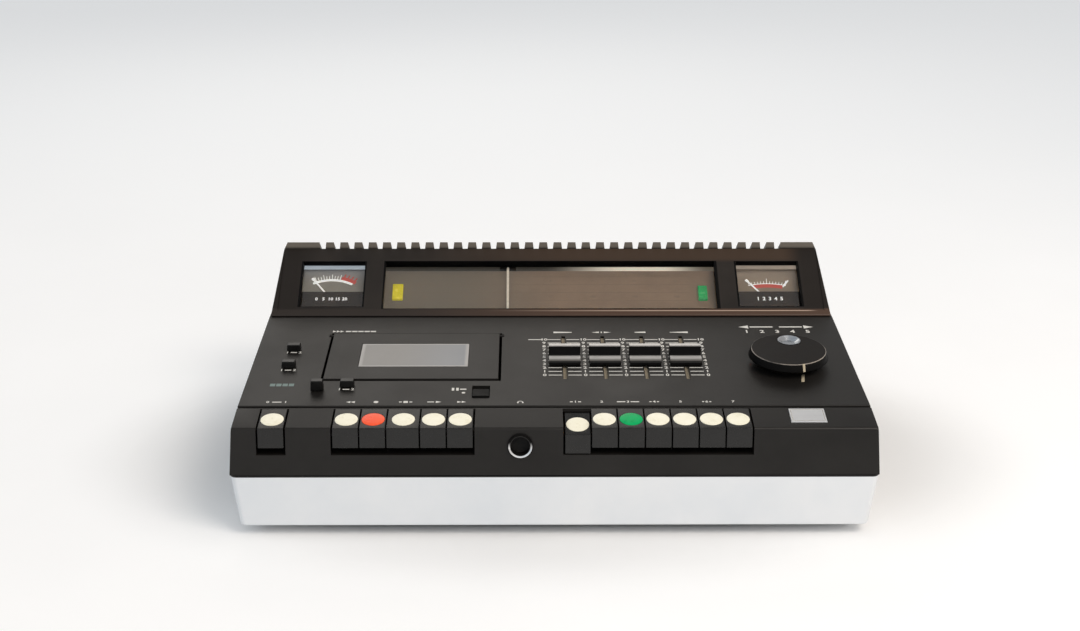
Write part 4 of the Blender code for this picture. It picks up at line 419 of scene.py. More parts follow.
def lens_styrene(name, low, high, glow):
    """Coloured polystyrene that glows in its own colour as painted light, so that the colour stays strong in
    the dark recess.
    """
    rough = (0.2, 0.3)
    finish = Finish(name, low, high, rough, clouds=5, grain=1.5, height=0.02, Specular_IOR_Level=0.5)
    # painted light: the lens glows in its own colour
    finish.light_up(glow)
    return finish.material


def ink(name, low, high, rough=0.6, glow=0.0):
    """Screen-printed ink: matt and even, with a slightly ragged density. Some glows in its own colour, as
    painted light.
    """
    roughs = (rough, rough + 0.1)
    finish = Finish(name, low, high, roughs, clouds=0.6, grain=0.6, height=0.004, Specular_IOR_Level=0.3)
    # painted light: some inks glow in their own colour
    finish.light_up(glow)
    return finish.material


def pointer_enamel():
    """Pale baked enamel on the dial pointer, with a faint glow of painted light. Its carriage, below the
    blade, is painted black as the shade at the top of the window.
    """
    finish = Finish(
        "pointer_enamel", "#e2ddd0", "#f2ede2", rough=(0.4, 0.5), clouds=3, grain=0.8, height=0.004
    )
    # painted shade: the carriage is faded to black
    carriage = finish.along("Z", -8.02, -8.08, finish.on(FACE))
    finish.fade(carriage, "#0b0a0a")
    # painted light: a faint glow
    finish.light_up(0.1)
    return finish.material


def clear_acrylic():
    """Clear polished acrylic, 1.6 mm thick: it shows what is under it, and a soft reflection."""
    made = bpy.data.materials.new("clear_acrylic")
    made.use_nodes = True
    shader = made.node_tree.nodes["Principled BSDF"]
    shader.inputs["Base Color"].default_value = srgb("#fbf8f3")
    shader.inputs["Roughness"].default_value = 0.03
    shader.inputs["IOR"].default_value = 1.49
    shader.inputs["Transmission Weight"].default_value = 1.0
    return made


def frosted_acrylic():
    """Acrylic with a silver-grey coat on its back: milky, under a clear glossy skin, with a painted highlight
    along its edges where their bevels catch the light."""
    finish = Finish(
        "frosted_acrylic", "#757371", "#807e7b", rough=(0.36, 0.44), clouds=34, grain=1.0, height=0.008,
        Coat_Weight=0.3, Coat_Roughness=0.2, Coat_IOR=1.49
    )
    rim_x, rim_y = WINDOW_WIDTH / 2, WINDOW_LENGTH / 2
    middle_y = PANEL.place(0, WINDOW_S).translation.y
    right_part = finish.along("X", WINDOW_X - 20, WINDOW_X + rim_x)
    finish.fade(right_part, "#787b80")
    # painted highlight: a pale band along each edge
    highlight_share = 0.3
    for axis, middle, reach, band in (("X", WINDOW_X, rim_x, 4.0), ("Y", middle_y, rim_y, 2.8)):
        for side in (-1, 1):
            edge = middle + side * reach
            margin = finish.along(axis, edge - side * band, edge - side * band * highlight_share)
            finish.fade(margin, "#9b9997")
    return finish.material


def scale_film():
    """Printed polyester film behind the dial pane: brown, greyer at its left end, where the light of
    the dial's bulbs fades."""
    finish = Finish(
        "scale_film", "#917c69", "#9f8873", rough=(0.55, 0.65),
        clouds=25, grain=0.9, height=0.008, Specular_IOR_Level=0.3
    )
    left_end = finish.along("X", 20, -90)
    finish.fade(left_end, "#837a6d")
    return finish.material


def meter_card(name, low, high, top):
    """Printed card in a meter: matt, a little paler towards its top."""
    rough = (0.65, 0.75)
    finish = Finish(name, low, high, rough, clouds=12, grain=0.8, height=0.008, Specular_IOR_Level=0.3)
    upper_part = finish.along("Z", 112, 124)
    finish.fade(upper_part, top)
    return finish.material


def light_guide(name, low, high, glow):
    """Milky acrylic along the top of a meter, which glows in its own colour as painted light."""
    rough = (0.4, 0.5)
    finish = Finish(name, low, high, rough, clouds=20, grain=2.0, height=0.01, Specular_IOR_Level=0.5)
    # painted light: the strip glows in its own colour
    finish.light_up(glow)
    return finish.material


def dial_guide():
    """A glowing strip for the long dial: a painted reflection in the pane, brightest right of the middle and
    dying away to both sides.
    """
    finish = Finish(
        "dial_guide", "#c9c1b2", "#d8d1c3", rough=(0.4, 0.5), clouds=20, grain=2.0, height=0.01
    )
    # painted reflection, faded dark to the left and dimmer to the right
    left_of_glare = finish.along("X", 70, -5)
    finish.fade(left_of_glare, "#33312d")
    right_of_glare = finish.along("X", 92, 138)
    finish.fade(right_of_glare, "#5d574e")
    finish.light_up(1.0)
    return finish.material


def seat_lacquer():
    """Grey lacquer on the finger seats of the slider caps, painted darker on both flanks as shade, so that it
    is brightest along the crown of the seat as a painted highlight.
    """
    finish = Finish(
        "grey_lacquer", "#c6c4c0", "#d2d0cc", rough=(0.3, 0.4),
        clouds=10, grain=0.8, height=0.006, Metallic=0.25
    )
    seat = finish.on(PANEL)
    # painted shade on both flanks, which leaves a painted highlight along the crown
    rear_flank_shade = finish.along("Y", 78.3, 80.6, seat)
    finish.fade(rear_flank_shade, "#6b6966")
    front_flank_shade = finish.along("Y", 76.3, 71.0, seat)
    finish.fade(front_flank_shade, "#55524e")
    return finish.material


def phenolic_board():
    """Phenolic paper board with brown resist: paper fibres show as fine mottling."""
    finish = Finish(
        "phenolic_board", "#5f3e1e", "#80582f", rough=(0.45, 0.6),
        clouds=2.5, grain=1.0, height=0.01, stretch=(1, 0.4, 1)
    )
    return finish.material


def wool_felt():
    """Brown-grey wool felt in the slider slots: matt, fuzzy fibres about 0.3 mm thick."""
    finish = Finish(
        "wool_felt", "#807562", "#9d917b", rough=(0.9, 1.0),
        clouds=1.2, grain=0.3, height=0.08, Specular_IOR_Level=0.1, Sheen_Weight=0.3
    )
    return finish.material


SHELL = textured_abs()
RIBS = ribbed_abs()
CAP = smooth_abs()
SLIDER_CAP = dull_abs("slider_abs", "#060606", "#0b0a0a")
# the crests' pale grey is a painted reflection, on caps that are black
SLIDER_CREST = polished_abs()
SWITCH = dull_abs("switch_abs", "#080807", "#0f0e0d", (0.26, 0.36), gloss=0.3)
PAUSE_CAP = dull_abs("pause_abs", "#060606", "#0b0b0a", gloss=0.08)
SPINDLE = dull_abs("spindle_nylon", "#3f3d3b", "#4b4946", (0.3, 0.4), gloss=0.5)
WELL = well_abs()
LINER = dull_abs("liner_abs", "#050505", "#0a0909", (0.5, 0.6), gloss=0.08)
METER_COVER = dull_abs("meter_cover_abs", "#2d241c", "#372c23", (0.45, 0.55), gloss=0.1)
HOOD = hood_abs()
KNOB = turned_abs()
# a darker copy of the knob's black, laid over its rim as painted shade
KNOB_RIM_SHADE = dull_abs("rim_shade_abs", "#060505", "#0b0a09", (0.45, 0.55), gloss=0.08)
KNOB_EDGE = rubbed_abs()
TRAY = silver_lacquer()
COVER = coated_steel()
FOOT_RUBBER = moulded_rubber("foot_rubber", "#1b1a19", "#2e2d2b", grain=0.8)
DRIVE_RUBBER = moulded_rubber("drive_rubber", "#121212", "#262524", grain=0.5)
# bright chrome with painted shade on its upper half
RING_NUT = plug_worn_plate()
DISH = spun_aluminium()
PLATE = metal(
    "brushed_aluminium", "#eff0f1", "#f6f6f7", (0.34, 0.44), grain=0.9, height=0.006, stretch=(0.05, 1, 1)
).material
TURNED_STEEL = metal(
    "turned_steel", "#a3a29f", "#b0afac", (0.26, 0.36), grain=1.0, stretch=(0.1, 1, 1)
).material
ZINC_STEEL = metal("zinc_plated_steel", "#a7a8a2", "#bcbdb6", (0.36, 0.5), grain=3.0).material
NICKEL = metal("nickel_plate", "#bdb8ad", "#cbc6bb", (0.22, 0.3), grain=1.2).material
CREAM = moulded_styrene("cream_styrene", "#f6f1d9", "#fffbe8")
ORANGE = moulded_styrene("orange_styrene", "#fb4f27", "#ff6236")
GREEN = moulded_styrene("green_styrene", "#00a058", "#00b265", gloss=0.12)
# lenses that glow as painted light
YELLOW_LENS = lens_styrene("yellow_lens", "#c9bd12", "#dccf16", glow=0.35)
GREEN_LENS = lens_styrene("green_lens", "#009a4e", "#00ab5b", glow=0.3)
WHITE_INK = ink("white_ink", "#d2d0ca", "#e4e2dc")
GREY_INK = ink("grey_ink", "#a5a29b", "#bbb8b0")
FAINT_INK = ink("faint_ink", "#84725f", "#90806e")
TEAL_INK = ink("teal_ink", "#6f807e", "#83938f")
# red and white inks that glow as painted light, for the meters' scales, needles and numbers
RED_INK = ink("red_ink", "#d0534b", "#e0645b", glow=0.12)
GLOWING_WHITE = ink("glowing_white_ink", "#e6e9ec", "#f4f7fa", glow=0.55)
BLACK_INK = ink("black_ink", "#0c0b0a", "#161514")
PALE_ENAMEL = ink("pale_enamel", "#dcd7ca", "#efeadf", rough=0.4)
INDEX_ENAMEL = ink("index_enamel", "#b5a88f", "#c8bba2", rough=0.4)
POINTER = pointer_enamel()
PANE = clear_acrylic()
LID_PANE = frosted_acrylic()
FILM = scale_film()
LEFT_CARD = meter_card("left_meter_card", "#9b9891", "#a3a099", "#acacaf")
RIGHT_CARD = meter_card("right_meter_card", "#9c8d7d", "#a39484", "#b3a79b")
# strips that glow as painted light
LEFT_GUIDE = light_guide("left_meter_guide", "#808a94", "#88929c", glow=1.15)
RIGHT_GUIDE = light_guide("right_meter_guide", "#7c746c", "#857c74", glow=1.0)
DIAL_GUIDE = dial_guide()
BOARD = phenolic_board()
SOCKET_PHENOLIC = dull_abs("dark_phenolic", "#2a211a", "#382c22", (0.35, 0.45), gloss=0.4)
FELT = wool_felt()
INLAY = seat_lacquer()


# Making pieces

CORNER_STEPS = 4
FIGURE_SHARE = 0.72  # the height of a figure, as a share of the type's size
NUMERAL_WEIGHT = 0.035  # how much its strokes are thickened, as a share of its height
MERGE_METRES = 0.000002
SHARP_DEG = 32
ALONG_X = Matrix(((0, 0, 1, 0), (1, 0, 0, 0), (0, 1, 0, 0), (0, 0, 0, 1)))  # draws a profile out along X


class Shape:
    """Points in millimetres and faces, gathered for one piece."""

    def __init__(self):
        self.points = []
        self.faces = []

    def add(self, points, faces, place=None):
        first = len(self.points)
        move = place or Matrix.Identity(4)
        self.points += [move @ Vector(p) for p in points]
        self.faces += [tuple(first + i for i in face) for face in faces]
        return self

    def prism(self, outline, low, high, place=None):
        """An outline of (x, y) corners, anticlockwise, drawn out from low to high."""
        count = len(outline)
        points = [(x, y, low) for x, y in outline] + [(x, y, high) for x, y in outline]
        faces = [tuple(reversed(range(count))), tuple(range(count, count * 2))]
        for i in range(count):
            j = (i + 1) % count
            faces.append((i, j, count + j, count + i))
        return self.add(points, faces, place)

    def bar(self, left, right, front, rear, low, high, place=None):
        return self.prism([(left, front), (right, front), (right, rear), (left, rear)], low, high, place)

    def cushion(self, outline, low, high, edge, place=None):
        """A prism whose top edge is cut back by edge, all round, at 45 degrees."""
        count = len(outline)
        reach_x = max(abs(x) for x, _ in outline)
        reach_y = max(abs(y) for _, y in outline)
        inner = [(x * (1 - edge / reach_x), y * (1 - edge / reach_y)) for x, y in outline]
        rings = [(outline, low), (outline, high - edge), (inner, high)]
        points = [(x, y, z) for ring, z in rings for x, y in ring]
        faces = [tuple(reversed(range(count))), tuple(range(count * 2, count * 3))]
        for first in (0, count):
            for i in range(count):
                j = (i + 1) % count
                faces.append((first + i, first + j, first + count + j, first + count + i))
        return self.add(points, faces, place)

    def lathe(self, profile, steps, place=None):
        """Turns (radius, height) pairs about Z. The profile runs anticlockwise seen from the side."""
        points, rings, faces = [], [], []
        for radius, height in profile:
            if radius == 0:
                rings.append([len(points)] * steps)
                points.append((0.0, 0.0, height))
                continue
            rings.append(list(range(len(points), len(points) + steps)))
            for i in range(steps):
                turn = 2 * math.pi * i / steps
                points.append((radius * math.cos(turn), radius * math.sin(turn), height))
        for low, high in zip(rings, rings[1:]):
            for i in range(steps):
                j = (i + 1) % steps
                face = list(dict.fromkeys((low[i], low[j], high[j], high[i])))
                if len(face) > 2:
                    faces.append(tuple(face))
        return self.add(points, faces, place)

    def made(self, name, material, body="case", smooth_deg=None, slot=None):
        """Turns the shape into an object that moves with a body."""
        mesh = bpy.data.meshes.new(name)
        mesh.from_pydata([tuple(p * MM) for p in self.points], [], self.faces)
        mesh.materials.append(material)
        if smooth_deg:
            mesh.shade_smooth()
            mesh.set_sharp_from_angle(angle=math.radians(smooth_deg))
        piece = bpy.data.objects.new(name, mesh)
        bpy.context.scene.collection.objects.link(piece)
        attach(piece, body)
        return piece


def rounded(width, length, corner):
    """A rectangle with round corners about zero, anticlockwise."""
    outline = []
    for sign_x, sign_y, start in ((1, -1, -90), (1, 1, 0), (-1, 1, 90), (-1, -1, 180)):
        for i in range(CORNER_STEPS + 1):
            turn = math.radians(start + 90 * i / CORNER_STEPS)
            x = sign_x * (width / 2 - corner) + corner * math.cos(turn)
            outline.append((x, sign_y * (length / 2 - corner) + corner * math.sin(turn)))
    return outline


def disc(radius, steps=20):
    """A circle about zero, anticlockwise."""
    turns = [2 * math.pi * i / steps for i in range(steps)]
    return [(radius * math.cos(turn), radius * math.sin(turn)) for turn in turns]


def arrow(width, height, way=1):
    """A triangle that points right, or left where way is -1."""
    half = width / 2
    corners = [(-half, -height / 2), (half, 0), (-half, height / 2)]
    return corners if way > 0 else [(-x, y) for x, y in reversed(corners)]


def moved(outline, x, y=0.0):
    """An outline carried sideways by x and y."""
    return [(a + x, b + y) for a, b in outline]


def on_circle(radius, deg):
    """A point on a circle about zero."""
    turn = math.radians(deg)
    return radius * math.cos(turn), radius * math.sin(turn)


def dash(width, height):
    """A rectangle about zero, anticlockwise."""
    x, y = width / 2, height / 2
    return [(-x, -y), (x, -y), (x, y), (-x, y)]


def numerals(text, height):
    """The flat outline of plain numbers about zero, as points in millimetres and faces."""
    curve = bpy.data.curves.new("numerals", "FONT")
    curve.body = text
    curve.size = height / FIGURE_SHARE
    curve.align_x = "CENTER"
    curve.align_y = "CENTER"
    curve.resolution_u = 2
    curve.offset = height * NUMERAL_WEIGHT
    holder = bpy.data.objects.new("numerals", curve)
    bpy.context.scene.collection.objects.link(holder)
    bpy.context.view_layer.update()
    mesh = bpy.data.meshes.new_from_object(holder)
    points = [tuple(v.co) for v in mesh.vertices]
    faces = [tuple(p.vertices) for p in mesh.polygons]
    bpy.data.objects.remove(holder)
    bpy.data.curves.remove(curve)
    bpy.data.meshes.remove(mesh)
    return points, faces


def joined_and_shaded():
    """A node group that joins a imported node's loose triangles and shades its curved faces smooth."""
    group = bpy.data.node_groups.new("joined_and_shaded", "GeometryNodeTree")
    group.interface.new_socket("Geometry", in_out="INPUT", socket_type="NodeSocketGeometry")
    group.interface.new_socket("Geometry", in_out="OUTPUT", socket_type="NodeSocketGeometry")
    start = add_node(group, "NodeGroupInput")
    bare = add_node(
        group, "GeometryNodeRemoveAttribute", {"Name": "custom_normal"},
        {"Geometry": start.outputs["Geometry"]}
    )
    joined = add_node(
        group, "GeometryNodeMergeByDistance", {"Distance": MERGE_METRES},
        {"Geometry": bare.outputs["Geometry"]}
    )
    faces = add_node(
        group, "GeometryNodeSetShadeSmooth", {"domain": "FACE", "Shade Smooth": True},
        {"Geometry": joined.outputs["Geometry"]}
    )
    angle = add_node(group, "GeometryNodeInputMeshEdgeAngle")
    soft = add_node(
        group, "FunctionNodeCompare",
        {"data_type": "FLOAT", "operation": "LESS_THAN", "B": math.radians(SHARP_DEG)},
        {"A": angle.outputs["Unsigned Angle"]}
    )
    edges = add_node(
        group, "GeometryNodeSetShadeSmooth", {"domain": "EDGE"},
        {"Geometry": faces.outputs["Geometry"], "Shade Smooth": soft.outputs["Result"]}
    )
    end = add_node(group, "NodeGroupOutput")
    group.links.new(edges.outputs["Geometry"], end.inputs["Geometry"])
    return group


SHADING = joined_and_shaded()


def dress(name, material, edge):
    """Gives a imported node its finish, smooth shading, and edges rounded by edge millimetres."""
    node = nodes[name]
    for i in range(len(node.material_slots)):
        node.material_slots[i].link = "OBJECT"
        node.material_slots[i].material = material
    shading = node.modifiers.new("shading", "NODES")
    shading.node_group = SHADING
    if edge:
        rounding = node.modifiers.new("edges", "BEVEL")
        rounding.width = edge * MM
        rounding.segments = 2
        rounding.limit_method = "ANGLE"
        rounding.angle_limit = math.radians(SHARP_DEG)
        rounding.use_clamp_overlap = True
        rounding.miter_outer = "MITER_ARC"
        again = node.modifiers.new("shading after", "NODES")
        again.node_group = SHADING
        even = node.modifiers.new("even normals", "WEIGHTED_NORMAL")
        even.keep_sharp = True


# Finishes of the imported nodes

SLIDERS = [f"slider_knob_{i + 1}" for i in range(4)]
DECK_KEYS = ["rewind_key", "record_key", "stop_key", "start_key", "forward_key"]
BAND_KEYS = [f"band_key_{i + 1}" for i in range(7)]

# Each line gives the finish, the rounding of the edges in millimetres, and the nodes
for material, edge, names in (
    (SHELL, 0.35, ["front_bezel", "deck_panel", "cassette_lid"]),
    (RIBS, 0.35, ["rear_cover"]),
    (HOOD, 0.6, ["dial_housing"]),
    (TRAY, 0.5, ["base_tray"]),
    (COVER, 0, ["bottom_cover"]),
    (FOOT_RUBBER, 0, ["foot_front_left", "foot_front_right", "foot_rear_left", "foot_rear_right"]),
    (CAP, 0.3, ["power_key"] + DECK_KEYS + BAND_KEYS),
    (CAP, 0, ["phone_socket"]),
    (SLIDER_CAP, 0.4, SLIDERS),
    (SWITCH, 0.25, ["mode_switch", "filter_switch", "counter_switch", "eject_slide"]),
    (PAUSE_CAP, 0.25, ["pause_slide"]),
    (SPINDLE, 0, ["supply_spindle", "takeup_spindle"]),
    (WELL, 0, ["cassette_well"]),
    (KNOB, 0.3, ["tuning_knob"]),
    (DISH, 0, ["knob_dish"]),
    (TURNED_STEEL, 0, ["tuning_shaft", "deck_key_rod", "band_key_rod"]),
    (ZINC_STEEL, 0, ["head_bridge", "capstan_flywheel", "motor_pulley", "motor", "transformer"]),
    (DRIVE_RUBBER, 0, ["pinch_roller", "drive_belt"]),
    (PLATE, 0, ["badge_plate"]),
    (LID_PANE, 0.3, ["lid_window"]),
    (BOARD, 0, ["main_board", "slider_bank"]),
    (PANE, 0, ["dial_glass"]),
    (FILM, 0, ["dial_scale"]),
    (POINTER, 0, ["dial_pointer"]),
    (PALE_ENAMEL, 0, ["left_needle", "right_needle"]),
    (LEFT_CARD, 0, ["left_meter"]),
    (RIGHT_CARD, 0, ["right_meter"]),
):
    for name in names:
        dress(name, material, edge)


# Keys: coloured discs in their recesses

KEY_PITCH = 19.8
WIDE_KEY = 24.7
DECK_KEYS_LEFT = -164.0
BAND_KEYS_LEFT = 6.8
POWER_KEY_X = -208.8
KEY_PIVOT_DEPTH = 64.5
KEY_PIVOT_Z = 80.0
LATCHED_DEG = 4.8
DISC_S = 12.3
DISC_N = 0.5
DISC_PROFILE = [(0, -0.55), (8.25, -0.55), (8.55, -0.25), (8.55, 0.05)]
DISC_PROFILE += [(8.45, 0.16), (8.2, 0.24), (5.13, 0.42), (0, 0.5)]


def key_places():
    """Each key's name and the place of its middle."""
    places = [("power_key", POWER_KEY_X)]
    x = DECK_KEYS_LEFT
    for name in DECK_KEYS:
        width = WIDE_KEY if name == "stop_key" else KEY_PITCH
        places.append((name, x + width / 2))
        x += width
    places += [(name, BAND_KEYS_LEFT + (i + 0.5) * KEY_PITCH) for i, name in enumerate(BAND_KEYS)]
    return places


def latched(place):
    """The same place on a key that is held down."""
    pivot = Matrix.Translation((0, KEY_PIVOT_DEPTH - HALF_DEPTH, KEY_PIVOT_Z))
    return pivot @ Matrix.Rotation(math.radians(LATCHED_DEG), 4, "X") @ pivot.inverted() @ place


def make_key_discs():
    """A slightly domed insert in each key. The first band key is held down."""
    colours = {"record_key": ORANGE, "band_key_3": GREEN}
    for name, x in key_places():
        place = SHELF.place(x, DISC_S, DISC_N)
        if name == "band_key_1":
            place = latched(place)
        insert = Shape().lathe(DISC_PROFILE, 40, place)
        insert.made(name + "_disc", colours.get(name, CREAM), name, 40)


# Printed marks on the panel

PRINT_LOW = -0.02
PRINT_HIGH = 0.04
KEY_MARK_S = 6.6
MARK_HEIGHT = 3.3
MARK_STROKE = 1.4
WINDING_ARROW = 3.2
REWIND_ARROWS_X = (-155.2, -151.8)
RECORD_DOT_X = -134.3
RECORD_DOT_RADIUS = 1.815
STOP_SQUARE_X = -112.0
START_DASH_X = -93.2
START_ARROW_X = -87.2
FORWARD_ARROWS_X = (-71.6, -68.2)
BAND_DASHES = (2.2, 0, 6.4, 1.6, 0, 1.4, 0)  # length of the dashes beside each band's number
HEADBAND_STEPS = 10
HEADBAND_REACH = 2.2
HEADBAND_RISE = 2.0
HEADBAND_DROP = 0.5


class Marks(Shape):
    """Signs and plain numbers printed on a slope."""

    def sign(self, outline, x, s):
        self.prism(outline, PRINT_LOW, PRINT_HIGH, PANEL.place(x, s))

    def number(self, text, x, s, height=MARK_HEIGHT, slope=PANEL, n=PRINT_HIGH):
        points, faces = numerals(text, height)
        self.add(points, faces, slope.place(x, s, n))

    def headphones(self, x, s):
        """An arched band in short strokes, and a pad at each of its ends."""
        turns = [math.pi * i / HEADBAND_STEPS for i in range(HEADBAND_STEPS + 1)]
        rises = [HEADBAND_RISE * math.sin(turn) for turn in turns]
        outer = [(HEADBAND_REACH * math.cos(t), rise - HEADBAND_DROP) for t, rise in zip(turns, rises)]
        inner = [(0.7 * a, 0.66 * rise - HEADBAND_DROP) for (a, _), rise in zip(outer, rises)]
        for i in range(HEADBAND_STEPS):
            self.sign([outer[i], outer[i + 1], inner[i + 1], inner[i]], x, s)
        for side in (-1, 1):
            self.sign(moved(dash(1.2, 1.8), side * 1.85, -1.2), x, s)


def make_key_marks():
    """Signs behind the keys: on and off, the tape's motions, headphones, and the bands' numbers."""
    marks = Marks()
    marks.number("0", POWER_KEY_X - 6.8, KEY_MARK_S)
    marks.sign(dash(7, MARK_STROKE), POWER_KEY_X, KEY_MARK_S)
    marks.number("1", POWER_KEY_X + 6.6, KEY_MARK_S)
    for way, places in ((-1, REWIND_ARROWS_X), (1, FORWARD_ARROWS_X)):
        for x in places:
            marks.sign(arrow(WINDING_ARROW, MARK_HEIGHT, way), x, KEY_MARK_S)
    marks.sign(disc(RECORD_DOT_RADIUS), RECORD_DOT_X, KEY_MARK_S)
    marks.sign(dash(MARK_HEIGHT, MARK_HEIGHT), STOP_SQUARE_X, KEY_MARK_S)
    for side in (-1, 1):
        marks.sign(dash(2.2, MARK_STROKE), STOP_SQUARE_X + side * 3.9, KEY_MARK_S)
    marks.sign(dash(5, MARK_STROKE), START_DASH_X, KEY_MARK_S)
    marks.sign(arrow(4.2, MARK_HEIGHT), START_ARROW_X, KEY_MARK_S)
    for i, reach in enumerate(BAND_DASHES):
        x = BAND_KEYS_LEFT + (i + 0.5) * KEY_PITCH - 0.9
        marks.number(str(i + 1), x, KEY_MARK_S)
        for side in (-1, 1):
            if reach:
                marks.sign(dash(reach, MARK_STROKE), x + side * (2.0 + reach / 2), KEY_MARK_S)
    marks.headphones(PHONE_X, KEY_MARK_S)
    marks.made("key_marks", WHITE_INK)


SLIDER_FIRST_X = 9.2
SLIDER_PITCH = 31.9
SLIDER_X = [SLIDER_FIRST_X + i * SLIDER_PITCH for i in range(len(SLIDERS))]
SCALE_FRONT_S = 53.7
SCALE_STEP = 6.77
SCALE_S = [SCALE_FRONT_S + i * SCALE_STEP for i in range(11)]
SCALE_FIGURE = 4.2
SCALE_STROKE = 1.1
FIGURE_CLEAR = 3.0  # from the middle of a number to the end of a line
SLOT_CLEAR = 2.4  # from the middle of a slot to the start of a line
SIGN_S = 136.0
SIGN_SHIFT = -0.4
TOP_LINE_X = -13.4
TOP_LINE_S = 121.4
SIGN_WEDGES = {
    0: [(-7.5, -1.5), (7.5, -0.7), (7.5, 0.7), (-7.5, 1.5)],
    2: [(-4.5, -0.7), (4.5, -1.5), (4.5, 1.5), (-4.5, 0.7)],
    3: [(-7.5, -0.4), (7.5, -1.6), (7.5, 1.6), (-7.5, 0.4)],
}


def make_slider_scales():
    """Eleven lines and numbers on both sides of each slot, and a sign above each slider."""
    lines, numbers = Marks(), Marks()
    digits = [numerals(str(i), SCALE_FIGURE) for i in range(len(SCALE_S))]
    for column in range(len(SLIDERS) + 1):
        x = SLIDER_FIRST_X + (column - 0.5) * SLIDER_PITCH
        for s, (points, faces) in zip(SCALE_S, digits):
            numbers.add(points, faces, PANEL.place(x, s, PRINT_HIGH))
    reach = SLIDER_PITCH / 2 - FIGURE_CLEAR
    for slot in SLIDER_X:
        for s in SCALE_S:
            for side in (-1, 1):
                middle = slot + side * (reach + SLOT_CLEAR) / 2
                lines.sign(dash(reach - SLOT_CLEAR, SCALE_STROKE), middle, s)
    lines.sign(dash(12, 1.3), TOP_LINE_X, TOP_LINE_S)
    lines.made("slider_lines", WHITE_INK)
    for i, outline in SIGN_WEDGES.items():
        numbers.sign(outline, SLIDER_X[i] + SIGN_SHIFT, SIGN_S)
    balance_x = SLIDER_X[1] + SIGN_SHIFT
    for side in (-1, 1):
        numbers.sign(moved(arrow(6.0, 3.0, side), side * 5.0), balance_x, SIGN_S)
    numbers.sign(dash(1.0, 3.0), balance_x, SIGN_S)
    numbers.made("slider_numbers", WHITE_INK)


# Sliders: felts in their slots, and trim on their caps

SLOT_WIDTH = 3.0
SLOT_FRONT_S = 47.0
SLOT_REAR_S = 128.0
FELT_LOW = -2.3
FELT_HIGH = -1.9
FELT_CLEAR = 0.02
FELT_SLIT = 0.05
FELT_END = 0.05
CAP_MID_S = 79.5
CAP_HALF_WIDTH = 12.5
INLAY_PROFILE = [(-8.8, 3.3), (2.3, 3.3), (2.3, 4.0), (1.2, 4.5), (-1.0, 4.9), (-3.4, 5.0)]
INLAY_PROFILE += [(-5.8, 4.8), (-7.8, 4.4), (-8.8, 3.8)]
CREST_PROFILE = [(3.7, 11.2), (9.0, 11.2), (9.3, 11.35), (8.9, 11.55), (8.2, 11.65), (4.9, 11.65)]
CREST_PROFILE += [(4.1, 11.55), (3.7, 11.35)]


def make_slot_felts():
    """Two felt lips in each slider slot, with a slit for the stem."""
    felts = Shape()
    outer = SLOT_WIDTH / 2 - FELT_CLEAR
    front, rear = SLOT_FRONT_S + FELT_END, SLOT_REAR_S - FELT_END
    for slot in SLIDER_X:
        for left, right in ((-outer, -FELT_SLIT), (FELT_SLIT, outer)):
            felts.bar(slot + left, slot + right, front, rear, FELT_LOW, FELT_HIGH, PANEL.place())
    felts.made("slot_felts", FELT)


def make_slider_trim():
    """On each slider cap, a low rounded strip of grey lacquer along the finger seat, with painted shade on
    its flanks, and a glossy crest with rolled edges, pale grey as a painted reflection."""
    for kind, profile, inset, material, smooth_deg in (
        ("inlay", INLAY_PROFILE, 0.15, INLAY, 40),
        # the crest's pale grey is a painted reflection
        ("crest", CREST_PROFILE, 0.1, SLIDER_CREST, 50),
    ):
        reach = CAP_HALF_WIDTH - inset
        for i, x in enumerate(SLIDER_X):
            strip = Shape().prism(profile, -reach, reach, PANEL.place(x, CAP_MID_S) @ ALONG_X)
            strip.made(f"slider_{kind}_{i + 1}", material, SLIDERS[i], smooth_deg)


# Marks by the lid, the switches and the knob

SWITCH_MARKS = ((-207.2, 96.6), (-207.6, 63.2), (-159.0, 28.6))  # x and s between a 1 and a 2
SWITCH_FIGURE = 3.6
PAUSE_BARS_X = (-77.2, -73.8)
PAUSE_DASH_X = -69.4
PAUSE_MARK_S = 28.6
PAUSE_DOT = (-69.0, 22.4)
LID_ARROWS_X = -178.8
LID_DASHES_X = -167.4
LID_MARK_S = 138.2
TUNING_X = KNOB_X + 0.4
TUNING_ARROW_S = 146.7
TUNING_FIGURE_S = 137.2
TUNING_FIGURE = 5.6
TUNING_PITCH = 12.6
TEAL_X = -216.0
TEAL_S = 36.4


def make_panel_marks():
    """Signs by the small switches and the lid, and the tuning arrows behind the knob."""
    marks = Marks()
    for x, s in SWITCH_MARKS:
        marks.number("1", x - 5.0, s, SWITCH_FIGURE)
        marks.sign(dash(5.0, 1.5), x, s)
        marks.number("2", x + 5.0, s, SWITCH_FIGURE)
    for x in PAUSE_BARS_X:
        marks.sign(dash(1.9, 4.8), x, PAUSE_MARK_S)
    marks.sign(dash(4.8, 1.8), PAUSE_DASH_X, PAUSE_MARK_S)
    marks.sign(disc(1.4, 14), *PAUSE_DOT)
    for i in range(3):
        marks.sign(arrow(2.8, 3.8), LID_ARROWS_X + i * 3.1, LID_MARK_S)
    for i in range(5):
        marks.sign(dash(4.3, 2.2), LID_DASHES_X + i * 5.1, LID_MARK_S)
    for side in (-1, 1):
        marks.sign(moved(arrow(8.0, 6.4, side), side * 27.0), TUNING_X, TUNING_ARROW_S)
        marks.sign(moved(dash(19, 2.0), side * 12.2), TUNING_X, TUNING_ARROW_S)
    for i in range(5):
        marks.number(str(i + 1), TUNING_X + (i - 2) * TUNING_PITCH, TUNING_FIGURE_S, TUNING_FIGURE)
    marks.made("panel_marks", WHITE_INK)
    strip = Marks()
    for i in range(4):
        strip.sign(dash(4.0, 4.6), TEAL_X + i * 4.8, TEAL_S)
    strip.made("teal_marks", TEAL_INK)


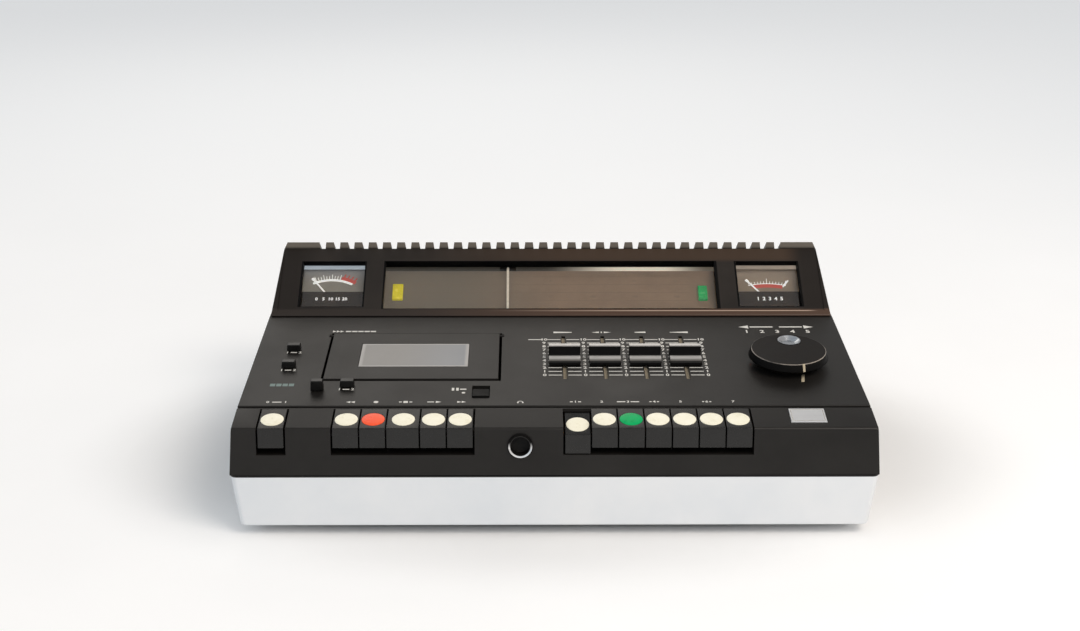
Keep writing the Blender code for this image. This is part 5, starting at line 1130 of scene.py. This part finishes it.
# Tuning knob: a black skin of painted shade on its rim, a painted highlight on its edge, and the index line
# on it and on the panel

RIM_SHADE_PROFILE = [(30.0, 5.75), (30.3, 5.75), (31.28, 6.78), (31.2, 7.3)]
RIM_SHADE_PROFILE += [(29.6, 11.5), (29.3, 12.1), (28.7, 12.1), (30.0, 5.75)]
EDGE_PROFILE = [(28.8, 12.0), (29.34, 12.1), (29.25, 12.4), (29.05, 12.56), (28.8, 12.54), (28.8, 12.0)]
INDEX_PROFILE = [(-31.4, 6.9), (-30.8, 6.5), (-28.9, 11.4), (-28.6, 12.5), (-29.15, 12.62), (-29.7, 11.55)]
INDEX_DEG = 15.3
INDEX_HALF_WIDTH = 0.95
PANEL_INDEX = [(191.5, 41.0), (193.9, 41.0), (195.9, 54.0), (193.5, 54.0)]
KNOB_STEPS = 120


def make_knob_details():
    """A near-black skin round the knob's rim as painted shade, a painted highlight on its top edge, the pale
    index on the rim, and the one on the panel that continues it."""
    middle = PANEL.place(KNOB_X, KNOB_S)
    # the skin over the rim is painted shade, and the edge ring is a painted highlight
    Shape().lathe(RIM_SHADE_PROFILE, KNOB_STEPS, middle).made("knob_rim_shade", KNOB_RIM_SHADE, "tuning_knob", 40)
    Shape().lathe(EDGE_PROFILE, KNOB_STEPS, middle).made("knob_edge", KNOB_EDGE, "tuning_knob", 60)
    place = PANEL.place(KNOB_X, KNOB_S, 0, math.radians(INDEX_DEG)) @ ALONG_X
    index = Shape().prism(INDEX_PROFILE, -INDEX_HALF_WIDTH, INDEX_HALF_WIDTH, place)
    index.made("knob_index", INDEX_ENAMEL, "tuning_knob")
    panel_index = Shape().prism(PANEL_INDEX, PRINT_LOW, PRINT_HIGH, PANEL.place())
    panel_index.made("panel_index", INDEX_ENAMEL)


# Headphone socket: a ring nut with painted shade on its upper half, a collar, and the insulator at the bottom
# of the bore, with painted shade in its contact holes

RING_PROFILE = [(7.5, 1.0), (8.7, 1.0), (8.8, 1.75), (8.6, 1.8), (7.6, 1.4), (7.5, 1.0)]
COLLAR_PROFILE = [(8.82, 1.0), (9.4, 1.0), (9.4, 1.5), (9.2, 1.75), (8.86, 1.8), (8.82, 1.0)]
PHONE_INSULATOR = [(0, -7.9), (7.1, -7.9), (7.1, -6.6), (0, -6.6)]
PIN_CIRCLE = 4.2  # radius of the circle that the contacts of a round socket stand on
CONTACT_RADIUS = 0.7
CONTACT_TURNS = (200, 245, 295, 340)


def make_phone_details():
    """A ring nut whose face slopes in towards the bore, in a thin black collar, and the black insulator deep
    in the bore, with four black discs of painted shade for its contact holes."""
    place = FRONT.place(PHONE_X, (PHONE_Z - FRONT_FOOT[1]) / math.sin(FRONT.angle), 0)
    Shape().lathe(RING_PROFILE, 64, place).made("phone_ring", RING_NUT, "case", 30, "bright_metal")
    Shape().lathe(COLLAR_PROFILE, 64, place).made("phone_collar", LINER, "case", 30)
    Shape().lathe(PHONE_INSULATOR, 32, place).made("phone_insulator", DRIVE_RUBBER, "case", 40)
    # black discs on the insulator, painted shade for its contact holes
    contacts = Shape()
    for deg in CONTACT_TURNS:
        contacts.prism(moved(disc(CONTACT_RADIUS, 12), *on_circle(PIN_CIRCLE, deg)), -6.7, -6.5, place)
    contacts.made("phone_hole_shade", BLACK_INK, "case", 40)


# Dial: faint scale, coloured lamps, glowing strips of painted light, and black liners of painted shade in the
# windows. N is a height over the hood's face, and all of these lie under it.

GLASS_LOW = -6.6
POINTER_LOW = GLASS_LOW - 1.1 - 0.8
FILM_N = POINTER_LOW - 3.0
METER_TOP_N = GLASS_LOW - 0.8
CARD_N = METER_TOP_N - 4.0
METER_MID_X = 186.3
CARD_PRINT = (0.01, 0.06)  # low and high face of a printed line over its card
FILM_PRINT = (0.01, 0.05)
SCALE_ROWS = (18.0, 27.0, 36.0, 45.0, 54.0)
SCALE_LEFT = -122
SCALE_RIGHT = 120
TICK_FIRST_X = -120
TICK_PITCH = 6
TICK_COUNT = 41
NUMBER_FIRST_X = -108
NUMBER_PITCH = 36
NUMBER_RISE = 4.4
LAMP_HEIGHT = 2.7
DIAL_GUIDE_REACH = 144.6
DIAL_SHADE_REACH = 142.6
METER_GUIDE_REACH = 27.6
GUIDE_CLEAR = 0.03  # under the pane
# Each window's left, right, front and rear, and how thick its left and right liners are
WINDOWS = (
    (-143.4, 143.4, 8.6, 62.6, 1.0, 2.2),
    (-214.2, -158.4, 10.8, 62.3, 1.5, 1.3),
    (158.4, 214.2, 10.8, 62.3, 1.5, 1.5),
)
LINER_LOW = -4.9
LINER_HIGH = 0.27
LINER_THICK = 0.5


def make_dial_print():
    """A faint scale on the film: five lines with ticks and plain numbers."""
    scale = Shape()
    for row in SCALE_ROWS:
        scale.bar(SCALE_LEFT, SCALE_RIGHT, -0.15, 0.15, *FILM_PRINT, FACE.place(0, row, FILM_N))
    for i in range(TICK_COUNT):
        tall = 2.2 if i % 6 == 0 else 1.1
        for row in SCALE_ROWS:
            place = FACE.place(TICK_FIRST_X + i * TICK_PITCH, row, FILM_N)
            scale.bar(-0.12, 0.12, 0, tall, *FILM_PRINT, place)
    for i in range(7):
        for row, text in ((SCALE_ROWS[1], str(88 + i * 3)), (SCALE_ROWS[3], str(5 + i))):
            points, faces = numerals(text, 2.4)
            place = FACE.place(NUMBER_FIRST_X + i * NUMBER_PITCH, row + NUMBER_RISE, FILM_N + FILM_PRINT[1])
            scale.add(points, faces, place)
    scale.made("dial_print", FAINT_INK)


def make_dial_lamps():
    """A yellow and a green lens that stand on the film, below the pointer's path."""
    for name, x, s, width, length, material in (
        ("yellow_lamp", -131.2, 35.6, 9.0, 16.8, YELLOW_LENS),
        ("green_lamp", 130.5, 34.3, 7.8, 15.4, GREEN_LENS),
    ):
        lens = Shape().cushion(rounded(width, length, 0.6), 0.0, LAMP_HEIGHT, 0.5, FACE.place(x, s, FILM_N))
        lens.made(name, material, "case", 40)


def make_light_guides():
    """Glowing milky strips of painted light: one behind the film's rear edge, below the pointer's carriage,
    as a painted reflection, and one over each meter. A black strip of painted shade covers the gap above the
    long one."""
    reach = DIAL_GUIDE_REACH
    # a strip that glows as a painted reflection in the pane
    guide = Shape().bar(-reach, reach, 60.9, 67.2, FILM_N - 2.3, FILM_N - 1.7, FACE.place())
    guide.made("dial_light_guide", DIAL_GUIDE)
    under_pane = FACE.place(0, 0, GLASS_LOW)
    # painted shade: a black strip where the top of the window lies in shade
    mask = Shape().bar(-DIAL_SHADE_REACH, DIAL_SHADE_REACH, 61.3, 65.4, -0.5, -GUIDE_CLEAR, under_pane)
    mask.made("dial_shade_strip", LINER)
    for side, x, material in (("left", -METER_MID_X, LEFT_GUIDE), ("right", METER_MID_X, RIGHT_GUIDE)):
        left, right = x - METER_GUIDE_REACH, x + METER_GUIDE_REACH
        strip = Shape().bar(left, right, 58.8, 63.0, -0.75, -GUIDE_CLEAR, under_pane)
        strip.made(f"{side}_meter_light_guide", material)


def make_window_liners():
    """Thin black frames that line the three windows of the hood, down to the pane, as painted shade on the
    window walls.
    """
    # painted shade: black frames on the shaded window walls
    liners = Shape()
    for left, right, front, rear, left_thick, right_thick in WINDOWS:
        inner_front, inner_rear = front + LINER_THICK, rear - LINER_THICK
        for sides in (
            (left, right, inner_rear, rear),
            (left, right, front, inner_front),
            (left, left + left_thick, inner_front, inner_rear),
            (right - right_thick, right, inner_front, inner_rear),
        ):
            liners.bar(*sides, LINER_LOW, LINER_HIGH, FACE.place())
    liners.made("window_liner_shade", LINER)


# Needles and pointer: painted faces on their blades

NEEDLE_PIVOT_S = 25.2
NEEDLE_REST_DEG = 36.9
NEEDLE_TOP_N = CARD_N + 1.85
POINTER_X = -36.8
POINTER_TOP_N = POINTER_LOW + 0.8
POINTER_FRONT_S = 9.2
POINTER_REAR_S = 60.6
POINTER_HALF_WIDTH = 1.0


def make_needle_faces():
    """A white face on each needle that glows as painted light, broader at its tip."""
    for side, x, reach in (("left", -METER_MID_X, 32.0), ("right", METER_MID_X, 29.6)):
        place = FACE.place(x, NEEDLE_PIVOT_S, NEEDLE_TOP_N, math.radians(NEEDLE_REST_DEG))
        right = [(0.6, 4), (0.75, reach - 3.4), (1.3, reach - 2.4), (1.3, reach - 0.5), (0.8, reach)]
        outline = right + [(-a, b) for a, b in reversed(right)]
        Shape().prism(outline, 0.02, 0.2, place).made(f"{side}_needle_face", GLOWING_WHITE, f"{side}_needle")


def make_pointer_face():
    """A pale strip on the blade of the dial pointer, a little broader than the blade."""
    left, right = POINTER_X - POINTER_HALF_WIDTH, POINTER_X + POINTER_HALF_WIDTH
    low, high = POINTER_TOP_N + 0.02, POINTER_TOP_N + 0.14
    strip = Shape().bar(left, right, POINTER_FRONT_S, POINTER_REAR_S, low, high, FACE.place())
    strip.made("pointer_face", POINTER, "dial_pointer")


# Meters: scales on the cards, and a cover with numbers over the foot of each

ARC_STEPS = 24
LEFT_SCALE_MID = (-188.7, 16.2)  # x and s of the middle of the scale's arcs
RIGHT_SCALE_MID = (186.8, -13.0)
RIGHT_ARM = [(12.4, 55.4), (14.0, 54.8), (19.4, 62.2), (18.0, 62.9)]
COVER_FRONT_S = 11.2
COVER_REAR_S = 34.0
COVER_HALF_WIDTH = 27.9
COVER_WALL = 1.2
COVER_TOP = 0.9
METER_NUMBER_S = 25.6
# Each meter's numbers, the distance between them, their height, and how far they stand off the middle
METER_NUMBERS = {
    "left": ((0, 5, 10, 15, 20), 6.0, 3.2, -1.6),
    "right": ((1, 2, 3, 4, 5), 5.0, 3.8, 1.0),
}


def arc_strip(shape, radius, width, start, end, place, high=CARD_PRINT[1]):
    """A curved band printed on a card. Angles are in degrees from straight up, to the right."""
    near, far = radius - width / 2, radius + width / 2
    for i in range(ARC_STEPS):
        a = math.radians(start + (end - start) * i / ARC_STEPS)
        b = math.radians(start + (end - start) * (i + 1) / ARC_STEPS)
        corners = [(near, a), (near, b), (far, b), (far, a)]
        outline = [(r * math.sin(t), r * math.cos(t)) for r, t in corners]
        shape.prism(outline, CARD_PRINT[0], high, place)


def tick(shape, turn_deg, near, far, width, place):
    """A short line that points away from the middle of the arcs."""
    ray = place @ Matrix.Rotation(math.radians(-turn_deg), 4, "Z")
    shape.bar(-width / 2, width / 2, near, far, *CARD_PRINT, ray)


def make_left_meter_print():
    """A white arc that ends under a red band, with ticks above it."""
    place = FACE.place(*LEFT_SCALE_MID, CARD_N)
    white, red = Shape(), Shape()
    arc_strip(white, 34.0, 2.3, -28, 31.5, place)
    arc_strip(red, 36.9, 3.6, 13, 34, place)
    for i in range(10):
        far = 40.5 if i % 3 == 0 else 38.8
        tick(white, -22 + i * 3.7, 35.2, far, 0.5, place)
    for turn in (16, 21, 26, 31):
        tick(red, turn, 38.7, 42.0, 1.2, place)
    white.made("left_meter_scale", GLOWING_WHITE)
    red.made("left_meter_red", RED_INK)


def make_right_meter_print():
    """A broad red arc that ends at a white arm on the right, and ticks on a thin white arc above it."""
    place = FACE.place(*RIGHT_SCALE_MID, CARD_N)
    white, red = Shape(), Shape()
    arc_strip(red, 56.4, 3.8, -13.4, 13.4, place, 0.07)
    arc_strip(white, 58.9, 0.7, -16, 16, place)
    for i in range(13):
        far = 64.6 if i % 6 == 0 else 61.6
        tick(white, -15 + i * 2.5, 59.2, far, 0.5, place)
    white.prism(RIGHT_ARM, *CARD_PRINT, place)
    white.made("right_meter_scale", GLOWING_WHITE)
    red.made("right_meter_red", RED_INK)


def make_meter_covers():
    """A dark cover over the foot of each meter, open below for the needle, with plain numbers."""
    depth = METER_TOP_N - 0.2 - CARD_N
    under_top = depth - COVER_TOP
    middle_s = (COVER_FRONT_S + COVER_REAR_S) / 2
    top = rounded(COVER_HALF_WIDTH * 2, COVER_REAR_S - COVER_FRONT_S, 0.6)
    outer = COVER_HALF_WIDTH - 0.1
    for side, x in (("left", -METER_MID_X), ("right", METER_MID_X)):
        place = FACE.place(x, 0, CARD_N)
        cover = Shape().cushion(top, under_top, depth, 0.2, place @ Matrix.Translation((0, middle_s, 0)))
        for left in (-outer, outer - COVER_WALL):
            cover.bar(
                left, left + COVER_WALL, COVER_FRONT_S + 0.4, COVER_REAR_S - 0.4, 0, under_top, place
            )
        cover.made(f"{side}_meter_cover", METER_COVER, "case", 40, "black_shell")
        sign = Marks()
        figures, pitch, height, shift = METER_NUMBERS[side]
        for i, figure in enumerate(figures):
            number_x = x + (i - 2) * pitch + shift
            sign.number(str(figure), number_x, METER_NUMBER_S, height, FACE, CARD_N + depth + 0.04)
        sign.made(f"{side}_meter_numbers", GLOWING_WHITE)


# Plate on the shelf: a grey line inside its edge

PLATE_X = 187.8
PLATE_S = 17.5
PLATE_TOP_N = 0.7


def make_plate_line():
    """A thin closed line, drawn side by side from corner to corner."""
    line = Shape()
    place = SHELF.place(PLATE_X, PLATE_S, PLATE_TOP_N)
    outer, inner = rounded(24.4, 15.9, 0.6), rounded(23.4, 14.9, 0.5)
    for i in range(len(outer)):
        j = (i + 1) % len(outer)
        line.prism([outer[i], outer[j], inner[j], inner[i]], 0.0, PRINT_HIGH, place)
    line.made("plate_line", GREY_INK)


# Rear and underside: round sockets, mains inlet and screws

TRAY_REAR_LEAN = 4.9  # how far the tray's rear wall stands in from the shell at the sockets
RECESS_DEPTH = 9.0
SOCKET_Z = 8.0 + 42.0 * 0.524  # over the tray's foot, as a share of its height
SOCKET_FIRST_X = 40
SOCKET_PITCH = 26
SHELL_PROFILE = [(6.6, -2.9), (7.4, -2.9), (7.4, 0.6), (6.6, 0.6), (6.6, -2.9)]
SOCKET_INSULATOR = [(0, -2.9), (6.5, -2.9), (6.5, -0.6), (0, -0.6)]
HOLE_RADIUS = 0.75
HOLE_TURNS = (0, 45, 90, 135, 180)
INLET_X = -190
INLET_PINS_X = (-5, 5)
PIN_PROFILE = [(0, 0), (1.2, 0), (1.2, 6.2), (0.8, 7.0), (0, 7.2)]
COVER_LOW_Z = 4.0
SCREWS_X = (-200, 0, 200)
SCREWS_Y = (-88, 88)
SCREW_HEAD = [(0, -0.3), (3.4, -0.3), (3.4, 0.3), (2.9, 0.75), (1.8, 1.05), (0, 1.15)]
CROSS_TURN = 0.4


def make_rear_fittings():
    """Five round sockets with metal shells, whose pin holes are black discs of painted shade, and the two-pin
    inlet, each in its recess.
    """
    rear_y = HALF_DEPTH - TRAY_REAR_LEAN - RECESS_DEPTH
    back = Matrix.Rotation(-math.pi / 2, 4, "X")
    shells, insulators, holes, pins = Shape(), Shape(), Shape(), Shape()
    for i in range(5):
        place = Matrix.Translation((SOCKET_FIRST_X + i * SOCKET_PITCH, rear_y, SOCKET_Z)) @ back
        shells.lathe(SHELL_PROFILE, 32, place)
        insulators.lathe(SOCKET_INSULATOR, 32, place)
        # painted shade: black discs for the pin holes
        for deg in HOLE_TURNS:
            holes.prism(moved(disc(HOLE_RADIUS, 12), *on_circle(PIN_CIRCLE, deg)), -0.62, -0.56, place)
    shells.made("socket_shells", NICKEL, "case", 40, "plain_steel")
    insulators.made("socket_insulators", SOCKET_PHENOLIC, "case", 40, "board")
    holes.made("socket_hole_shade", BLACK_INK)
    inlet = Matrix.Translation((INLET_X, rear_y, SOCKET_Z)) @ back
    for x in INLET_PINS_X:
        pins.lathe(PIN_PROFILE, 16, inlet @ Matrix.Translation((x, 0, 0)))
    pins.made("inlet_pins", NICKEL, "case", 40, "plain_steel")
    body = Shape().prism(rounded(20, 12, 3.0), 0.0, 1.0, inlet)
    body.made("inlet_insulator", DRIVE_RUBBER, "case", 40)


def make_screws():
    """Cross-head screws that hold the bottom cover, with their cross slots drawn as black bars of painted
    shade.
    """
    heads, slots = Shape(), Shape()
    under = Matrix.Rotation(math.pi, 4, "X")
    for x in SCREWS_X:
        for y in SCREWS_Y:
            place = Matrix.Translation((x, y, COVER_LOW_Z)) @ under
            heads.lathe(SCREW_HEAD, 28, place)
            # painted shade: black bars for the cross slots
            for turn in (CROSS_TURN, CROSS_TURN + math.pi / 2):
                slots.bar(-2.0, 2.0, -0.35, 0.35, 0.9, 1.17, place @ Matrix.Rotation(turn, 4, "Z"))
    heads.made("cover_screws", ZINC_STEEL, "case", 40, "plain_steel")
    slots.made("screw_slot_shade", BLACK_INK)


make_key_discs()
make_key_marks()
make_slider_scales()
make_slot_felts()
make_slider_trim()
make_panel_marks()
make_knob_details()
make_phone_details()
make_dial_print()
make_dial_lamps()
make_light_guides()
make_window_liners()
make_needle_faces()
make_pointer_face()
make_left_meter_print()
make_right_meter_print()
make_meter_covers()
make_plate_line()
make_rear_fittings()
make_screws()


# Floor, light and camera. Places and sizes are in metres.

FLOOR_HALF = 40.0
FLOOR_GLOW = 0.25
# The floor's glow starts between these two distances from the middle, over an oval, so that the
# deck's own shadow stays on it
SHADOW_NEAR = 0.15
SHADOW_FAR = 0.25
SHADOW_OVAL = (0.6, 1, 1)
ROOM_GREY = (0.62, 0.62, 0.62, 1)
ROOM_PALE = (0.88, 0.88, 0.88, 1)
ROOM_PALE_HEIGHT = 0.45
ROOM_TOP_HEIGHT = 0.95
CAMERA_PLACE = (-0.02243, -1.28763, 0.58795)
CAMERA_SENSOR_MM = 36.0
CAMERA_LENS_MM = 56.429
CAMERA_PITCH = 0.34888  # down, in radians
CAMERA_YAW = 0.00968  # to the right
CAMERA_ROLL = 0.00249


def make_floor():
    """A white floor that turns a little greyer behind the deck. It shows at nearly full white to the
    camera and in reflections, and still takes the deck's shadow."""
    mesh = bpy.data.meshes.new("floor")
    half = FLOOR_HALF
    corners = [(-half, -half, 0), (half, -half, 0), (half, half, 0), (-half, half, 0)]
    mesh.from_pydata(corners, [], [(0, 1, 2, 3)])
    finish = Finish(
        "matt_paint", "#e8e8e8", "#ececec", rough=(0.85, 0.95),
        clouds=300, grain=4.0, height=0.02, Specular_IOR_Level=0.1
    )
    behind = finish.along("Y", 100, 1300)
    finish.fade(behind, "#e0e2e4")
    finish.shader.inputs["Emission Color"].default_value = srgb("#ffffff")
    seen = add_node(finish.tree, "ShaderNodeLightPath")
    first = add_node(
        finish.tree, "ShaderNodeMath", {"operation": "ADD"},
        {0: seen.outputs["Is Camera Ray"], 1: seen.outputs["Is Glossy Ray"]}
    )
    every = add_node(
        finish.tree, "ShaderNodeMath", {"operation": "ADD"},
        {0: first.outputs["Value"], 1: seen.outputs["Is Transmission Ray"]}
    )
    glow = add_node(
        finish.tree, "ShaderNodeMapRange", {"To Max": FLOOR_GLOW}, {"Value": every.outputs["Value"]}
    )
    oval = add_node(finish.tree, "ShaderNodeMapping", {"Scale": SHADOW_OVAL}, {"Vector": finish.place})
    reach = add_node(
        finish.tree, "ShaderNodeVectorMath", {"operation": "LENGTH"}, {"Vector": oval.outputs["Vector"]}
    )
    clear = add_node(
        finish.tree, "ShaderNodeMapRange",
        {"interpolation_type": "SMOOTHSTEP", "From Min": SHADOW_NEAR, "From Max": SHADOW_FAR},
        {"Value": reach.outputs["Value"]}
    )
    strength = finish.both(glow.outputs["Result"], clear.outputs["Result"])
    finish.tree.links.new(strength, finish.shader.inputs["Emission Strength"])
    mesh.materials.append(finish.material)
    floor = bpy.data.objects.new("floor", mesh)
    bpy.context.scene.collection.objects.link(floor)


def make_room():
    """A pale room: dim overhead, brightest low down, stronger in front than behind, and cooler on the
    deck's left side."""
    world = bpy.data.worlds.new("room")
    bpy.context.scene.world = world
    world.use_nodes = True
    tree = world.node_tree
    place = add_node(tree, "ShaderNodeTexCoord")
    split = add_node(tree, "ShaderNodeSeparateXYZ", {}, {"Vector": place.outputs["Generated"]})
    height = add_node(tree, "ShaderNodeValToRGB", {}, {"Fac": split.outputs["Z"]})
    stops = height.color_ramp.elements
    for stop, position in ((stops[0], 0.0), (stops[1], ROOM_TOP_HEIGHT)):
        stop.position = position
        stop.color = ROOM_GREY
    stops.new(ROOM_PALE_HEIGHT).color = ROOM_PALE
    front_to_back = add_node(
        tree, "ShaderNodeMapRange",
        {"From Min": -0.8, "From Max": 0.6, "To Min": 1.15, "To Max": 0.6}, {"Value": split.outputs["Y"]}
    )
    strength = add_node(
        tree, "ShaderNodeMath", {"operation": "MULTIPLY"},
        {0: height.outputs["Color"], 1: front_to_back.outputs["Result"]}
    )
    left_to_right = add_node(
        tree, "ShaderNodeMapRange", {"From Min": -0.9, "From Max": 0.9}, {"Value": split.outputs["X"]}
    )
    tint = add_node(
        tree, "ShaderNodeMix", {"data_type": "RGBA", 6: srgb("#e6f1fb"), 7: srgb("#fdf6ef")},
        {0: left_to_right.outputs["Result"]}
    )
    background = tree.nodes["Background"]
    tree.links.new(tint.outputs[2], background.inputs["Color"])
    tree.links.new(strength.outputs["Value"], background.inputs["Strength"])


def make_lamp(name, place, aim, width, length, energy, colour):
    """A soft rectangular lamp, turned towards a point. Its energy is in watts."""
    lamp = bpy.data.lights.new(name, "AREA")
    lamp.shape = "RECTANGLE"
    lamp.size = width
    lamp.size_y = length
    lamp.energy = energy
    lamp.color = srgb(colour)[:3]
    holder = bpy.data.objects.new(name, lamp)
    holder.location = place
    holder.rotation_euler = (Vector(aim) - Vector(place)).to_track_quat("-Z", "Y").to_euler()
    bpy.context.scene.collection.objects.link(holder)


def make_camera():
    """The photograph's view: a long lens, a little above the deck and to its left."""
    camera = bpy.data.cameras.new("camera")
    camera.sensor_width = CAMERA_SENSOR_MM
    camera.lens = CAMERA_LENS_MM
    holder = bpy.data.objects.new("camera", camera)
    bpy.context.scene.collection.objects.link(holder)
    level = math.cos(CAMERA_PITCH)
    sine, cosine = math.sin(CAMERA_YAW), math.cos(CAMERA_YAW)
    ahead = Vector((sine * level, cosine * level, -math.sin(CAMERA_PITCH)))
    right = Vector((cosine, -sine, 0.0))
    up = right.cross(ahead)
    rolled_right = right * math.cos(CAMERA_ROLL) + up * math.sin(CAMERA_ROLL)
    rolled_up = up * math.cos(CAMERA_ROLL) - right * math.sin(CAMERA_ROLL)
    turned = Matrix((rolled_right, rolled_up, -ahead)).transposed().to_4x4()
    holder.matrix_world = Matrix.Translation(CAMERA_PLACE) @ turned
    bpy.context.scene.camera = holder


make_floor()
make_room()
make_lamp("front_lamp", (0.9, -1.1, 1.7), (0, 0, 0.05), 1.0, 1.0, 21, "#fff5ea")
make_lamp("rear_lamp", (-0.25, 1.5, 1.1), (0, 0, 0.09), 1.2, 0.7, 3.8, "#fff6ea")
make_camera()
bpy.context.scene.view_settings.view_transform = "Standard"

bpy.context.view_layer.update()
